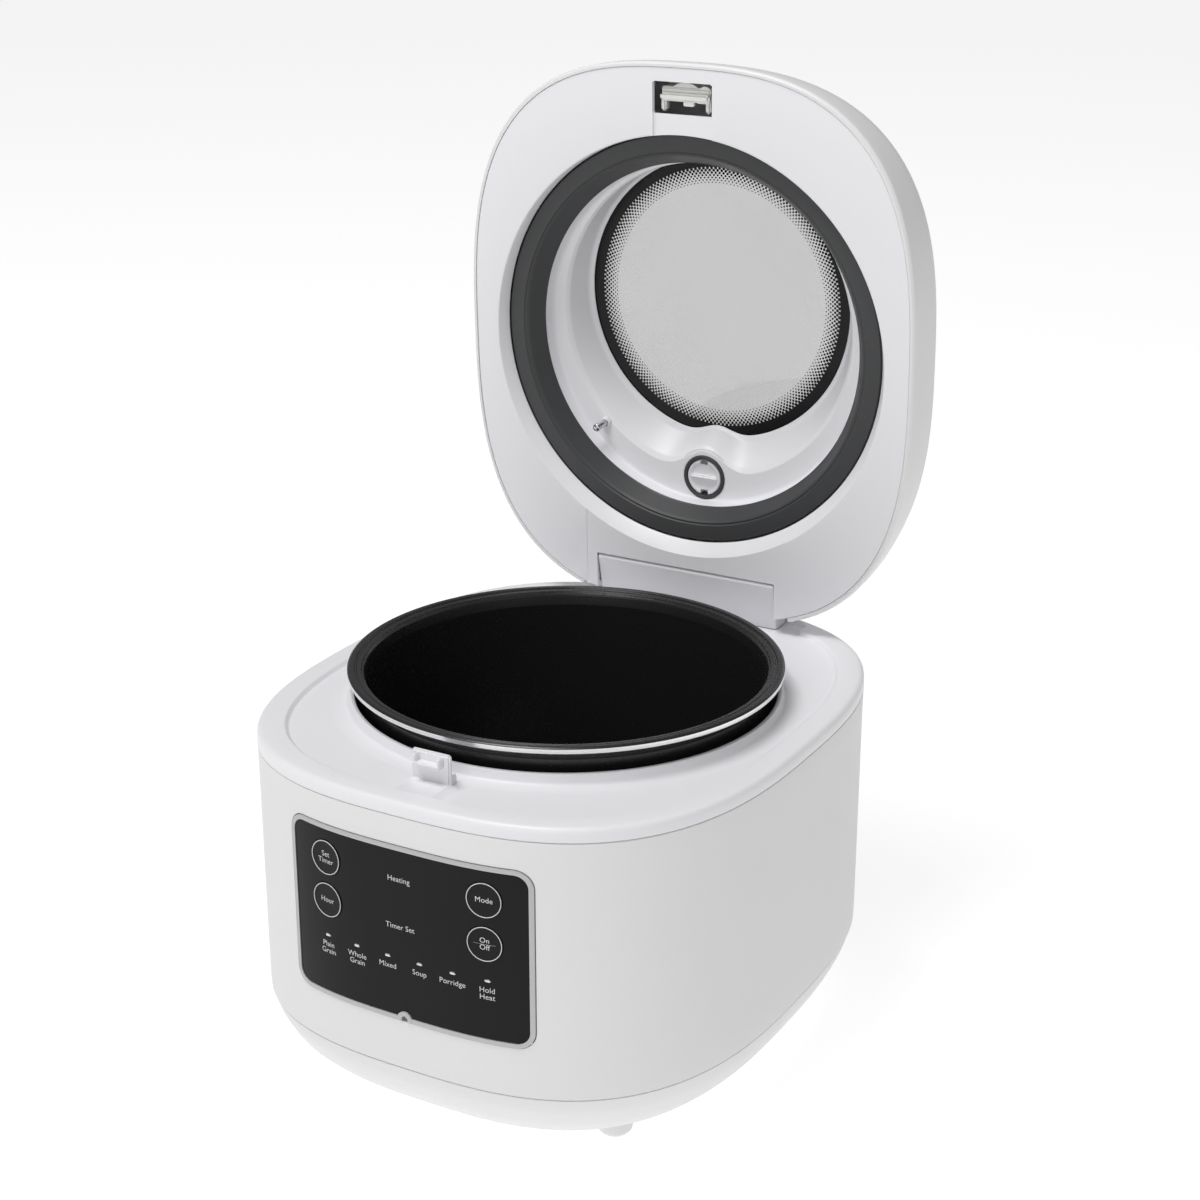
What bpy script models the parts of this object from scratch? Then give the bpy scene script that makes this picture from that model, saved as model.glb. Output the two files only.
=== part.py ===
"""Rice cooker with a hinged lid, shown open.

Units are metres, +Z is up and the front faces -Y. Everything is drawn in the cooker's own
axes, with the pot's centre line at x = y = 0 and the floor at z = 0. The lid is drawn shut
and then turned about its hinge by the empty that holds it.
"""
import math

import bmesh
import bpy
from mathutils import Matrix, Vector

# ---- driving dimensions -------------------------------------------------------------------
POT_AXIS_Y = -0.0135          # pot centre line, so that the open cooker stands centred on y = 0
RING = 40                     # points round every body, lid and pot section
SHAPE_POWER = 2.83            # superellipse exponent of the plan outline
OUTLINE_Y = 0.0031            # the outline's centre lies this far behind the pot

BODY_HALF_X = 0.1343
BODY_HALF_Y = 0.1548
BODY_WALL = 0.0025
BASE_BOTTOM = 0.0112
BASE_SEAM = 0.0418
DECK_SEAM = 0.1738
DECK_TOP = 0.1810
DECK_FLOOR = 0.1788
FOOT_X = 0.0795
FOOT_FRONT_Y = -0.0920
FOOT_REAR_Y = 0.0940
COLLAR_TOP = 0.1845
COLLAR_RADIUS = 0.1068
GAP = 0.0004                  # clearance between neighbouring mouldings

FLANGE_TOP = 0.1980
FLANGE_RADIUS = 0.1100
POT_BOTTOM = 0.0580
SENSOR_DROP = 0.0085          # how far the closed lid presses the pot down on its sprung sensor

LID_HALF_X = 0.1305
LID_HALF_Y = 0.1504
LID_PLANE = 0.1826            # underside of the shut lid
LID_RIM = 0.0055              # height of the inner panel's rim
LID_SEAM = 0.0031             # the inner panel's edge lies this far inside the shell's
LID_DEPTH = 0.0510            # underside to the top of the outer shell
WINDOW_Y = -0.0158
WINDOW_RADIUS = 0.0772
VALVE_Y = 0.0806
CAP_Y = 0.0960

HINGE_Y = 0.1393
HINGE_Z = 0.1938
LID_OPEN = math.radians(88.0)
BLOCK_HALF_X = 0.0540
BLOCK_REACH = 0.0174          # the lid clears this radius about its pin
EAR_X = 0.0586                # middle of each lid ear
PIN_RADIUS = 0.0030

PANEL_HALF_X = 0.0667
PANEL_LOW = 0.0680
PANEL_HIGH = 0.1590
PANEL_CORNER = 0.0090
BEZEL_WIDTH = 0.0023
BUTTON_X = 0.0435
BUTTON_HEIGHTS = (0.1196, 0.1418)
BUTTON_RADIUS = 0.0090
BUTTON_TRAVEL = 0.0008
INDICATOR_HEIGHT = 0.1005
INDICATOR_PITCH = 0.0177

CATCH_Y = -0.1247
LATCH_PIVOT_Y = -0.1330
LATCH_PIVOT_Z = 0.1985
RELEASE_HEIGHT = 0.2040

# ---- materials ----------------------------------------------------------------------------
WHITE = ("white_plastic", (0.86, 0.86, 0.85), 0.35, 0.0)
BRIGHT = ("white_gloss", (0.90, 0.90, 0.91), 0.25, 0.0)
BLACK = ("black_gloss", (0.010, 0.010, 0.011), 0.12, 0.0)
SILVER = ("silver_trim", (0.55, 0.56, 0.57), 0.30, 0.9)
COATING = ("pot_coating", (0.020, 0.020, 0.021), 0.45, 0.3)
RUBBER = ("grey_rubber", (0.085, 0.088, 0.092), 0.70, 0.0)
GLASS = ("window_glass", (0.55, 0.56, 0.57), 0.05, 0.0)
STEEL = ("bright_steel", (0.62, 0.62, 0.63), 0.30, 1.0)
ALUMINIUM = ("cast_aluminium", (0.50, 0.50, 0.51), 0.45, 1.0)
BOARD = ("circuit_board", (0.02, 0.16, 0.07), 0.50, 0.0)
LENS = ("indicator_lens", (0.85, 0.86, 0.88), 0.20, 0.0)
DARK = ("dark_plastic", (0.030, 0.030, 0.032), 0.50, 0.0)


def material(spec):
    """The Principled material for one (name, colour, roughness, metallic) row."""
    name, colour, roughness, metallic = spec
    found = bpy.data.materials.get(name)
    if found:
        return found
    made = bpy.data.materials.new(name)
    made.use_nodes = True
    shader = made.node_tree.nodes["Principled BSDF"]
    shader.inputs["Base Color"].default_value = (*colour, 1.0)
    shader.inputs["Roughness"].default_value = roughness
    shader.inputs["Metallic"].default_value = metallic
    return made


# ---- holders: empties that carry the pieces ----------------------------------------------
class Holder:
    """An empty at a point of the cooker; pieces drawn in cooker axes are moved onto it."""

    def __init__(self, name, origin=(0, 0, 0), parent=None):
        self.origin = Vector(origin)
        self.empty = bpy.data.objects.new(name, None)
        bpy.context.collection.objects.link(self.empty)
        if parent:
            self.empty.parent = parent.empty
            self.empty.location = self.origin - parent.origin
        else:
            self.empty.location = self.origin


def keep(mesh, name, holder, finish):
    """Make a mesh, drawn in cooker axes, a named object on its holder."""
    mesh.transform(Matrix.Translation(-holder.origin))
    mesh.name = name
    mesh.materials.append(material(finish))
    piece = bpy.data.objects.new(name, mesh)
    bpy.context.collection.objects.link(piece)
    piece.parent = holder.empty
    mesh.shade_smooth()
    mesh.set_sharp_from_angle(angle=math.radians(35))
    return piece


def finished(bm):
    """Turn a bmesh into a mesh with its faces pointing out."""
    bmesh.ops.remove_doubles(bm, verts=bm.verts, dist=1e-6)
    bmesh.ops.recalc_face_normals(bm, faces=bm.faces)
    mesh = bpy.data.meshes.new("mesh")
    bm.to_mesh(mesh)
    bm.free()
    return mesh


def modify(piece, operation, tool):
    """Add a Boolean with a tool that isn't itself a part of the cooker."""
    tool.hide_render = True
    tool.display_type = "WIRE"
    step = piece.modifiers.new(tool.name, "BOOLEAN")
    step.operation = operation
    step.object = tool
    return piece


def cut(piece, *tools):
    for tool in tools:
        modify(piece, "DIFFERENCE", tool)
    return piece


def join(piece, *tools):
    for tool in tools:
        modify(piece, "UNION", tool)
    return piece


# ---- sections -----------------------------------------------------------------------------
def angles():
    return [2 * math.pi * i / RING for i in range(RING)]


def squircle(half_x, half_y, z, centre_y=OUTLINE_Y):
    """A superellipse section, evenly spaced in angle."""
    ring = []
    for angle in angles():
        across, along = math.cos(angle), math.sin(angle)
        total = (abs(across) / half_x) ** SHAPE_POWER + (abs(along) / half_y) ** SHAPE_POWER
        reach = total ** (-1 / SHAPE_POWER)
        ring.append(Vector((reach * across, centre_y + reach * along, z)))
    return ring


def body_ring(inset, z):
    return squircle(BODY_HALF_X - inset, BODY_HALF_Y - inset, z)


def lid_ring(inset, height):
    return squircle(LID_HALF_X - inset, LID_HALF_Y - inset, LID_PLANE + height)


def circle(radius, z, centre_y=0.0, centre_x=0.0, count=RING):
    return [
        Vector((centre_x + radius * math.cos(a), centre_y + radius * math.sin(a), z))
        for a in (2 * math.pi * i / count for i in range(count))
    ]


def skin(rings, hollow=True):
    """Bridge sections in order; a hollow skin closes on its first section, others are capped."""
    bm = bmesh.new()
    loops = [[bm.verts.new(p) for p in ring] for ring in rings]
    pairs = list(zip(loops, loops[1:]))
    if hollow:
        pairs.append((loops[-1], loops[0]))
    for low, high in pairs:
        for i in range(len(low)):
            j = (i + 1) % len(low)
            bm.faces.new((low[i], low[j], high[j], high[i]))
    if not hollow:
        bm.faces.new(loops[0])
        bm.faces.new(loops[-1])
    return finished(bm)


def turned(profile, centre_y=0.0, centre_x=0.0, count=32, hollow=True):
    """Sections from (radius, z) pairs."""
    return skin([circle(r, z, centre_y, centre_x, count) for r, z in profile], hollow)


def box(low, high, bevel=0.0):
    bm = bmesh.new()
    bmesh.ops.create_cube(bm, size=1.0)
    size = [h - l for l, h in zip(low, high)]
    middle = [(h + l) / 2 for l, h in zip(low, high)]
    bmesh.ops.scale(bm, vec=size, verts=bm.verts)
    bmesh.ops.translate(bm, vec=middle, verts=bm.verts)
    if bevel:
        bmesh.ops.bevel(bm, geom=bm.edges[:], offset=bevel, segments=1, affect="EDGES")
    return finished(bm)


def sized(half_x, y, z, bevel=0.0, centre_x=0.0):
    """A box from its half width and its (low, high) pairs along y and z."""
    return box((centre_x - half_x, y[0], z[0]), (centre_x + half_x, y[1], z[1]), bevel)


def rod(start, end, radius, sides=16, radius_end=None):
    """A cylinder, or a cone, between two points."""
    start, end = Vector(start), Vector(end)
    along = end - start
    bm = bmesh.new()
    bmesh.ops.create_cone(
        bm, cap_ends=True, segments=sides, radius1=radius, depth=along.length,
        radius2=radius if radius_end is None else radius_end,
    )
    turn = along.to_track_quat("Z", "Y").to_matrix().to_4x4()
    bm.transform(Matrix.Translation((start + end) / 2) @ turn)
    return finished(bm)


def prism(outline, half_x):
    """A (y, z) outline drawn across the cooker from -half_x to half_x."""
    ends = [[Vector((x, y, z)) for y, z in outline] for x in (-half_x, half_x)]
    return skin(ends, hollow=False)


def coil(name, holder, start, along, radius, wire, turns, length):
    """A spring wound about a line; a curve with a round bevel and filled ends."""
    start, along = Vector(start), Vector(along).normalized()
    side = along.orthogonal().normalized()
    up = along.cross(side)
    steps = 8 * turns
    curve = bpy.data.curves.new(name, "CURVE")
    curve.dimensions = "3D"
    curve.bevel_depth = wire / 2
    curve.bevel_resolution = 0
    curve.use_fill_caps = True
    line = curve.splines.new("POLY")
    line.points.add(steps)
    for i, point in enumerate(line.points):
        angle = 2 * math.pi * turns * i / steps
        place = start + along * (length * i / steps)
        place = place + side * (radius * math.cos(angle)) + up * (radius * math.sin(angle))
        point.co = (*(place - holder.origin), 1.0)
    curve.materials.append(material(STEEL))
    piece = bpy.data.objects.new(name, curve)
    bpy.context.collection.objects.link(piece)
    piece.parent = holder.empty
    return piece


# ---- the curved front, for the control panel ----------------------------------------------
def front_y(x, inset=0.0):
    """The front wall's y at x."""
    half_x, half_y = BODY_HALF_X - inset, BODY_HALF_Y - inset
    return OUTLINE_Y - half_y * (1 - abs(x / half_x) ** SHAPE_POWER) ** (1 / SHAPE_POWER)


def front_normal(x):
    """The unit vector pointing out of the front wall at x."""
    step = 1e-5
    slope = (front_y(x + step) - front_y(x - step)) / (2 * step)
    return Vector((slope, -1.0, 0.0)).normalized()


def front_plate(shrink, proud, depth):
    """A plate that follows the front wall: the panel's outline made smaller by shrink."""
    half_x = PANEL_HALF_X - shrink
    low, high = PANEL_LOW + shrink, PANEL_HIGH - shrink
    corner = max(PANEL_CORNER - shrink, 0.002)
    turns = [math.radians(a) for a in (0, 22.5, 45, 67.5, 90)]
    stations = [(-half_x + corner * (1 - math.cos(a)), corner * (1 - math.sin(a))) for a in turns]
    flat = half_x - corner
    stations += [(x * flat, 0.0) for x in (-0.6, -0.2, 0.2, 0.6)]
    stations += [(-x, rise) for x, rise in reversed(stations[:len(turns)])]
    front = [Vector((x, front_y(x) - proud, low + rise)) for x, rise in stations]
    front += [Vector((x, front_y(x) - proud, high - rise)) for x, rise in reversed(stations)]
    back = [p + Vector((0, depth, 0)) for p in front]
    bm = bmesh.new()
    count = len(stations)
    faces = [[bm.verts.new(p) for p in side] for side in (front, back)]
    for side in faces:
        for i in range(count - 1):
            bm.faces.new((side[i], side[i + 1], side[-2 - i], side[-1 - i]))
    for i in range(2 * count):
        j = (i + 1) % (2 * count)
        bm.faces.new((faces[0][i], faces[0][j], faces[1][j], faces[1][i]))
    return finished(bm)


# ---- body ---------------------------------------------------------------------------------
def make_body_shell(on):
    wall = BODY_WALL
    rings = [
        body_ring(0.0003, BASE_SEAM + GAP), body_ring(0.0, DECK_SEAM - GAP / 2),
        body_ring(wall, DECK_SEAM - GAP / 2), body_ring(wall + 0.0003, BASE_SEAM + GAP),
    ]
    shell = keep(skin(rings), "body_shell", on, WHITE)
    opening = keep(front_plate(-0.0004, 0.006, 0.020), "cut_panel_opening", on, WHITE)
    inlet = keep(sized(0.0152, (0.140, 0.170), (0.0568, 0.0822)), "cut_inlet_hole", on, WHITE)
    cut(shell, opening, inlet)


def make_top_deck(on):
    under = DECK_FLOOR - 0.0024
    rings = [
        body_ring(0.0, DECK_SEAM + GAP / 2), body_ring(0.0, DECK_TOP - 0.0032),
        body_ring(0.0008, DECK_TOP - 0.0011), body_ring(0.0024, DECK_TOP),
        body_ring(0.0130, DECK_TOP), body_ring(0.0142, DECK_FLOOR + 0.0002),
        circle(0.1185, DECK_FLOOR), circle(0.1110, DECK_FLOOR + 0.0012),
        circle(0.1088, COLLAR_TOP), circle(COLLAR_RADIUS, COLLAR_TOP - 0.0003),
        circle(0.1062, 0.1500), circle(0.1084, 0.1500), circle(0.1092, under),
        body_ring(0.0152, under), body_ring(0.0062, DECK_TOP - 0.0026),
        body_ring(0.0052, 0.1690), body_ring(BODY_WALL + GAP, 0.1690),
        body_ring(BODY_WALL + GAP, DECK_SEAM + GAP / 2),
    ]
    deck = keep(skin(rings), "top_deck", on, BRIGHT)
    tower = keep(
        box((-0.0105, CATCH_Y, under + 0.001), (0.0105, CATCH_Y + 0.0030, 0.1952), 0.0006),
        "add_catch_tower", on, BRIGHT,
    )
    tongue = keep(
        box((-0.0075, CATCH_Y - 0.0040, 0.1893), (0.0075, CATCH_Y + 0.0020, 0.1912)),
        "add_catch_tongue", on, BRIGHT,
    )
    land = box((-0.0105, -0.1450, under + 0.001), (0.0105, CATCH_Y + 0.0020, DECK_TOP - 0.0001))
    join(deck, keep(land, "add_catch_land", on, BRIGHT))
    # The lid's ears swing through the rim behind the pot.
    trough_ring = [
        Vector((max(-0.068, min(0.068, p.x)), max(0.1235, p.y), 0.0))
        for p in body_ring(0.0050, 0.0)
    ]
    trough_rings = [
        [Vector((p.x, p.y, z)) for p in trough_ring] for z in (DECK_FLOOR - 0.0001, 0.2000)
    ]
    trough = keep(skin(trough_rings, hollow=False), "cut_ear_trough", on, BRIGHT)
    cut(join(deck, tower, tongue), trough)


def make_base_tray(on, feet):
    floor = BASE_BOTTOM + 0.0026
    outer = [
        (0.0006, BASE_SEAM), (0.0032, 0.0330), (0.0085, 0.0225), (0.0160, 0.0148),
        (0.0215, BASE_BOTTOM),
    ]
    lip = [(0.0034, BASE_SEAM), (0.0034, BASE_SEAM + 0.0040), (0.0050, BASE_SEAM + 0.0040)]
    inner = [(0.0062, 0.0342), (0.0115, 0.0246), (0.0190, 0.0172), (0.0245, floor)]
    rings = [body_ring(inset, z) for inset, z in outer[::-1] + lip + inner]
    tray = keep(skin(rings, hollow=False), "base_tray", on, WHITE)
    for i in range(7):
        x = 0.016 * (i - 3)
        vent = keep(
            sized(0.0030, (-0.075, -0.035), (0.005, 0.0175), centre_x=x), f"cut_vent_{i}", on, WHITE
        )
        cut(tray, vent)
    for name, x, y in feet:
        hole = rod((x, y, 0.005), (x, y, 0.020), 0.0020, 12)
        cut(tray, keep(hole, f"cut_{name}_hole", on, WHITE))


def make_foot(on, name, x, y):
    top = BASE_BOTTOM - 0.0003
    profile = [
        (0.0044, 0.0), (0.0062, 0.0), (0.0082, 0.0022), (0.0098, top), (0.0022, top),
        (0.0022, 0.0050), (0.0044, 0.0050),
    ]
    keep(turned(profile, y, x, 24), name, on, WHITE)
    head = [(0.0040, 0.0024), (0.0040, 0.0047), (0.0016, 0.0047), (0.0016, 0.0185)]
    keep(turned(head, y, x, 12, hollow=False), name.replace("foot", "foot_screw"), on, STEEL)


def make_control_panel(on):
    edge = BEZEL_WIDTH
    bezel = keep(front_plate(0.0, 0.0004, 0.0040), "control_bezel", on, SILVER)
    cut(bezel, keep(front_plate(edge, 0.003, 0.012), "cut_bezel_window", on, SILVER))
    panel = keep(front_plate(edge + 0.0003, -0.0002, 0.0030), "control_panel", on, BLACK)
    for name, x, z in buttons():
        out = front_normal(x)
        middle = Vector((x, front_y(x), z))
        hole = rod(middle + out * 0.006, middle - out * 0.010, BUTTON_RADIUS + 0.0003, 24)
        cut(panel, keep(hole, f"cut_{name}", on, BLACK))
    for x in indicator_places():
        y = front_y(x)
        slot = box(
            (x - 0.0030, y - 0.005, INDICATOR_HEIGHT - 0.0013),
            (x + 0.0030, y + 0.006, INDICATOR_HEIGHT + 0.0013),
        )
        cut(panel, keep(slot, f"cut_indicator_{x:+.3f}", on, BLACK))


def indicator_places():
    return [INDICATOR_PITCH * (i - 2.5) for i in range(6)]


def make_indicator_lights(on):
    bar_y = front_y(0.0) + 0.0076
    height = INDICATOR_HEIGHT
    guide = keep(
        sized(0.0490, (bar_y, bar_y + 0.0020), (height - 0.0020, height + 0.0020)),
        "indicator_light_guide", on, LENS,
    )
    for x in indicator_places():
        prong = box(
            (x - 0.0027, front_y(x) + 0.0001, height - 0.0010),
            (x + 0.0027, bar_y + 0.0010, height + 0.0010),
        )
        join(guide, keep(prong, f"add_prong_{x:+.3f}", on, LENS))


def buttons():
    return [
        (f"button_{row}_{side}", sign * BUTTON_X, z)
        for z, row in zip(BUTTON_HEIGHTS, ("lower", "upper"))
        for sign, side in ((-1, "left"), (1, "right"))
    ]


def make_button(body, name, x, z):
    out = front_normal(x)
    middle = Vector((x, front_y(x) + 0.0002, z))
    on = Holder(f"{name}_axis", middle, body)
    cap = keep(rod(middle + out * 0.0004, middle - out * 0.0032, BUTTON_RADIUS, 24), name, on, BLACK)
    stem = keep(rod(middle - out * 0.0030, middle - out * 0.0090, 0.0022, 12), f"add_{name}", on, BLACK)
    join(cap, stem)


def make_electronics(on):
    board = keep(
        box((-0.0540, -0.1385, 0.0850), (0.0540, -0.1369, 0.1520)), "control_board", on, BOARD
    )
    for name, x, z in buttons():
        out = front_normal(x)
        tip = Vector((x, front_y(x) + 0.0002, z)) - out * (0.0092 + BUTTON_TRAVEL)
        switch = box((tip.x - 0.003, tip.y + 0.0008, z - 0.003), (tip.x + 0.003, -0.1380, z + 0.003))
        join(board, keep(switch, f"add_switch_{name}", on, DARK))
    display = box((-0.0260, -0.1475, 0.1080), (0.0260, -0.1390, 0.1340), 0.0004)
    keep(display, "display_module", on, DARK)
    keep(box((-0.0450, 0.0500, 0.0185), (0.0450, 0.1200, 0.0201)), "power_board", on, BOARD)
    keep(box((-0.0300, 0.0620, 0.0204), (-0.0110, 0.0780, 0.0340), 0.0005), "power_relay", on, DARK)
    keep(box((0.0080, 0.0600, 0.0204), (0.0340, 0.0820, 0.0350), 0.0008), "transformer", on, DARK)


def make_power_inlet(on):
    low, high = 0.0570, 0.0820
    rear = OUTLINE_Y + BODY_HALF_Y
    block = keep(sized(0.0150, (rear - 0.0230, rear + 0.0012), (low, high)), "power_inlet", on, DARK)
    flange = sized(0.0190, (rear + 0.0003, rear + 0.0016), (low - 0.0030, high + 0.0030))
    join(block, keep(flange, "add_inlet_flange", on, DARK))
    cavity = sized(0.0125, (rear - 0.0170, rear + 0.0060), (low + 0.0030, high - 0.0030))
    cut(block, keep(cavity, "cut_inlet_socket", on, DARK))
    for x in (-0.0055, 0.0055):
        pin = sized(0.0010, (rear - 0.0180, rear - 0.0030), (0.0675, 0.0715), centre_x=x)
        join(block, keep(pin, f"add_inlet_pin_{x:+.4f}", on, DARK))


def make_heating(on):
    shield = [
        (0.1120, 0.1486), (0.1120, 0.1496), (0.1046, 0.1496), (0.1046, 0.0400),
        (0.0240, 0.0400), (0.0240, 0.0390), (0.1056, 0.0390), (0.1056, 0.1486),
    ]
    keep(turned(shield, count=RING), "heat_shield", on, STEEL)
    top = POT_BOTTOM - SENSOR_DROP - 0.0003
    plate = [
        (0.0220, top - 0.0080), (0.0780, top - 0.0080), (0.0800, top - 0.0060), (0.0800, top - 0.0010),
        (0.0790, top), (0.0220, top),
    ]
    keep(turned(plate, count=RING), "heater_plate", on, ALUMINIUM)
    fuse = rod((-0.0500, -0.0120, 0.0340), (-0.0500, 0.0120, 0.0340), 0.0035, 12)
    keep(fuse, "thermal_fuse", on, STEEL)


# ---- pot and its sensor -------------------------------------------------------------------
def make_sensor(body):
    on = Holder("sensor_axis", (0, 0, POT_BOTTOM), body)
    top = POT_BOTTOM - 0.0003
    profile = [
        (0.0050, 0.0300), (0.0050, top - 0.0120), (0.0165, top - 0.0120), (0.0180, top - 0.0100),
        (0.0180, top - 0.0010), (0.0170, top),
    ]
    keep(turned(profile, count=24, hollow=False), "bottom_sensor", on, ALUMINIUM)
    coil("sensor_spring", on, (0, 0, 0.0310), (0, 0, 1), 0.0090, 0.0012, 4, 0.0135)
    return on


def make_pot(sensor):
    on = Holder("pot_axis", (0, 0, POT_BOTTOM), sensor)
    top, low = FLANGE_TOP, POT_BOTTOM
    outside = [
        (0.0760, low), (0.0900, low + 0.0024), (0.0965, low + 0.0085), (0.0995, low + 0.0180),
        (0.1030, 0.1890), (0.1042, 0.1936), (0.1085, 0.1938), (FLANGE_RADIUS, 0.1952),
        (FLANGE_RADIUS, 0.1972), (0.1090, top), (0.1064, top - 0.0003), (0.1050, top - 0.0022),
        (0.1022, top - 0.0027), (0.1010, 0.1925), (0.1004, 0.1880),
    ]
    inside = [
        (0.0972, low + 0.0180), (0.0942, low + 0.0100), (0.0884, low + 0.0050), (0.0755, low + 0.0028),
    ]
    keep(turned(outside + inside, count=RING, hollow=False), "inner_pot", on, COATING)


# ---- hinge --------------------------------------------------------------------------------
def make_hinge(on):
    y, z = HINGE_Y, HINGE_Z
    foot = DECK_FLOOR + 0.0003
    crown = [math.radians(a) for a in (118, 102, 86, 70, 54, 38)]
    outline = [(y - 0.0052, foot), (y - 0.0112, z + 0.0122)]
    outline += [(y + 0.0148 * math.cos(a), z + 0.0146 * math.sin(a)) for a in crown]
    outline += [(y + 0.0125, z - 0.0110), (y + 0.0074, z - 0.0122), (y + 0.0074, foot)]
    block = keep(prism(outline, BLOCK_HALF_X), "hinge_block", on, BRIGHT)
    bore = rod((-0.060, y, z), (0.060, y, z), PIN_RADIUS + 0.0003, 20)
    pocket = box((0.0180, y - 0.0064, foot - 0.004), (0.0460, y + 0.0064, z + 0.0068))
    cut(block, keep(bore, "cut_pin_bore", on, BRIGHT), keep(pocket, "cut_spring_pocket", on, BRIGHT))
    pin = rod((-0.0612, y, z), (0.0612, y, z), PIN_RADIUS, 20)
    keep(pin, "hinge_pin", on, STEEL)
    coil("hinge_spring", on, (0.0200, y, z), (1, 0, 0), 0.0050, 0.0016, 9, 0.0240)


# ---- lid ----------------------------------------------------------------------------------
def hinge_notch(name, on, reach, half_x, low=LID_PLANE - 0.004):
    """The tool that clears the hinge block out of a lid piece, round the hinge's axis."""
    outline = [(HINGE_Y - 0.0133, low)]
    for step in range(9):
        angle = math.radians(220 - step * 16)
        height = max(low + 0.0002 * step, HINGE_Z + reach * math.sin(angle))
        outline.append((HINGE_Y + reach * math.cos(angle), height))
    outline += [(HINGE_Y + 0.0300, HINGE_Z + reach), (HINGE_Y + 0.0300, low)]
    return keep(prism(outline, half_x), name, on, WHITE)


def make_lid_panel(on):
    plane = LID_PLANE
    rings = [
        lid_ring(LID_SEAM, LID_RIM), lid_ring(LID_SEAM, 0.0008), lid_ring(LID_SEAM + 0.0005, 0.0003),
        circle(0.1144, plane + 0.0003, 0.0038), circle(0.1108, plane + 0.0068),
        circle(0.1124, plane + 0.0090), circle(0.1160, plane + 0.0026, 0.0038),
        lid_ring(LID_SEAM + 0.0024, 0.0029), lid_ring(LID_SEAM + 0.0024, LID_RIM),
    ]
    panel = keep(skin(rings), "lid_inner_panel", on, BRIGHT)
    sill = sized(0.0600, (HINGE_Y - 0.0190, HINGE_Y - 0.0120), (plane + 0.0010, plane + 0.0066))
    join(panel, keep(sill, "add_notch_sill", on, BRIGHT))
    for side in (-1, 1):
        x = side * EAR_X
        web = sized(0.0030, (HINGE_Y - 0.0170, HINGE_Y + 0.0010), (plane + 0.0012, HINGE_Z), 0, x)
        boss = rod((x - 0.0034, HINGE_Y, HINGE_Z), (x + 0.0034, HINGE_Y, HINGE_Z), 0.0070, 20)
        join(panel, keep(web, f"add_ear_web_{side:+d}", on, BRIGHT))
        join(panel, keep(boss, f"add_ear_boss_{side:+d}", on, BRIGHT))
    window = box((-0.0170, -0.1375, plane - 0.004), (0.0170, -0.1210, plane + 0.008))
    channel = box((-0.0170, -0.1230, plane - 0.004), (0.0170, -0.1060, plane + 0.0016))
    bore = rod((-0.0700, HINGE_Y, HINGE_Z), (0.0700, HINGE_Y, HINGE_Z), PIN_RADIUS + 0.0003, 20)
    cut(
        panel, keep(window, "cut_latch_window", on, BRIGHT), keep(channel, "cut_latch_channel", on, BRIGHT),
        keep(bore, "cut_ear_bores", on, BRIGHT),
        hinge_notch("cut_panel_notch", on, BLOCK_REACH, BLOCK_HALF_X + 0.0006),
    )


def lid_section(height, side, front, rear, wall=0.0):
    """One section of the outer shell, from how far its sides, front and rear come in."""
    half_y = LID_HALF_Y - wall - (front + rear) / 2
    middle = OUTLINE_Y + (front - rear) / 2
    return squircle(LID_HALF_X - wall - side, half_y, LID_PLANE + height, middle)


def make_lid_shell(on):
    steps = [
        (0.0014, 0.0, 0.0, 0.0), (0.0080, 0.0002, 0.0004, 0.0004), (0.0160, 0.0003, 0.0018, 0.0016),
        (0.0240, 0.0006, 0.0036, 0.0050), (0.0320, 0.0012, 0.0064, 0.0094),
        (0.0400, 0.0042, 0.0110, 0.0160), (0.0460, 0.0150, 0.0200, 0.0240),
        (0.0490, 0.0290, 0.0320, 0.0340),
    ]
    wall = 0.0024
    top = LID_PLANE + LID_DEPTH
    outer = [lid_section(0.0, 0.0010, 0.0010, 0.0010)] + [lid_section(*step) for step in steps]
    outer.append(circle(0.0860, top, WINDOW_Y))
    inner = [lid_section(h - 0.0020, s, f, r, wall) for h, s, f, r in steps]
    inner.append(circle(0.0860, top - 0.0030, WINDOW_Y))
    shell = keep(skin(outer, hollow=False), "lid_outer_shell", on, WHITE)
    cavity = keep(skin(inner, hollow=False), "cut_lid_cavity", on, WHITE)
    notch_half_x = EAR_X + 0.0046
    outside = hinge_notch(
        "cut_cavity_notch", on, BLOCK_REACH + 0.0026, notch_half_x + 0.0022, LID_PLANE + 0.0074
    )
    cut(cavity, outside)
    button = sized(0.0164, (-0.1600, -0.1350), (RELEASE_HEIGHT - 0.0058, RELEASE_HEIGHT + 0.0058))
    vent = rod((0, CAP_Y, 0.2200), (0, CAP_Y, 0.2400), 0.0150, 24)
    seat = rod((0, WINDOW_Y, top - 0.0026), (0, WINDOW_Y, top + 0.0040), 0.0820, RING)
    window = rod((0, WINDOW_Y, top - 0.0080), (0, WINDOW_Y, top + 0.0040), 0.0785, RING)
    cut(
        shell, cavity, hinge_notch("cut_shell_notch", on, BLOCK_REACH + 0.0004, notch_half_x),
        keep(button, "cut_release_opening", on, WHITE), keep(vent, "cut_vent_opening", on, WHITE),
        keep(seat, "cut_glass_seat", on, WHITE), keep(window, "cut_window_opening", on, WHITE),
    )


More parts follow.
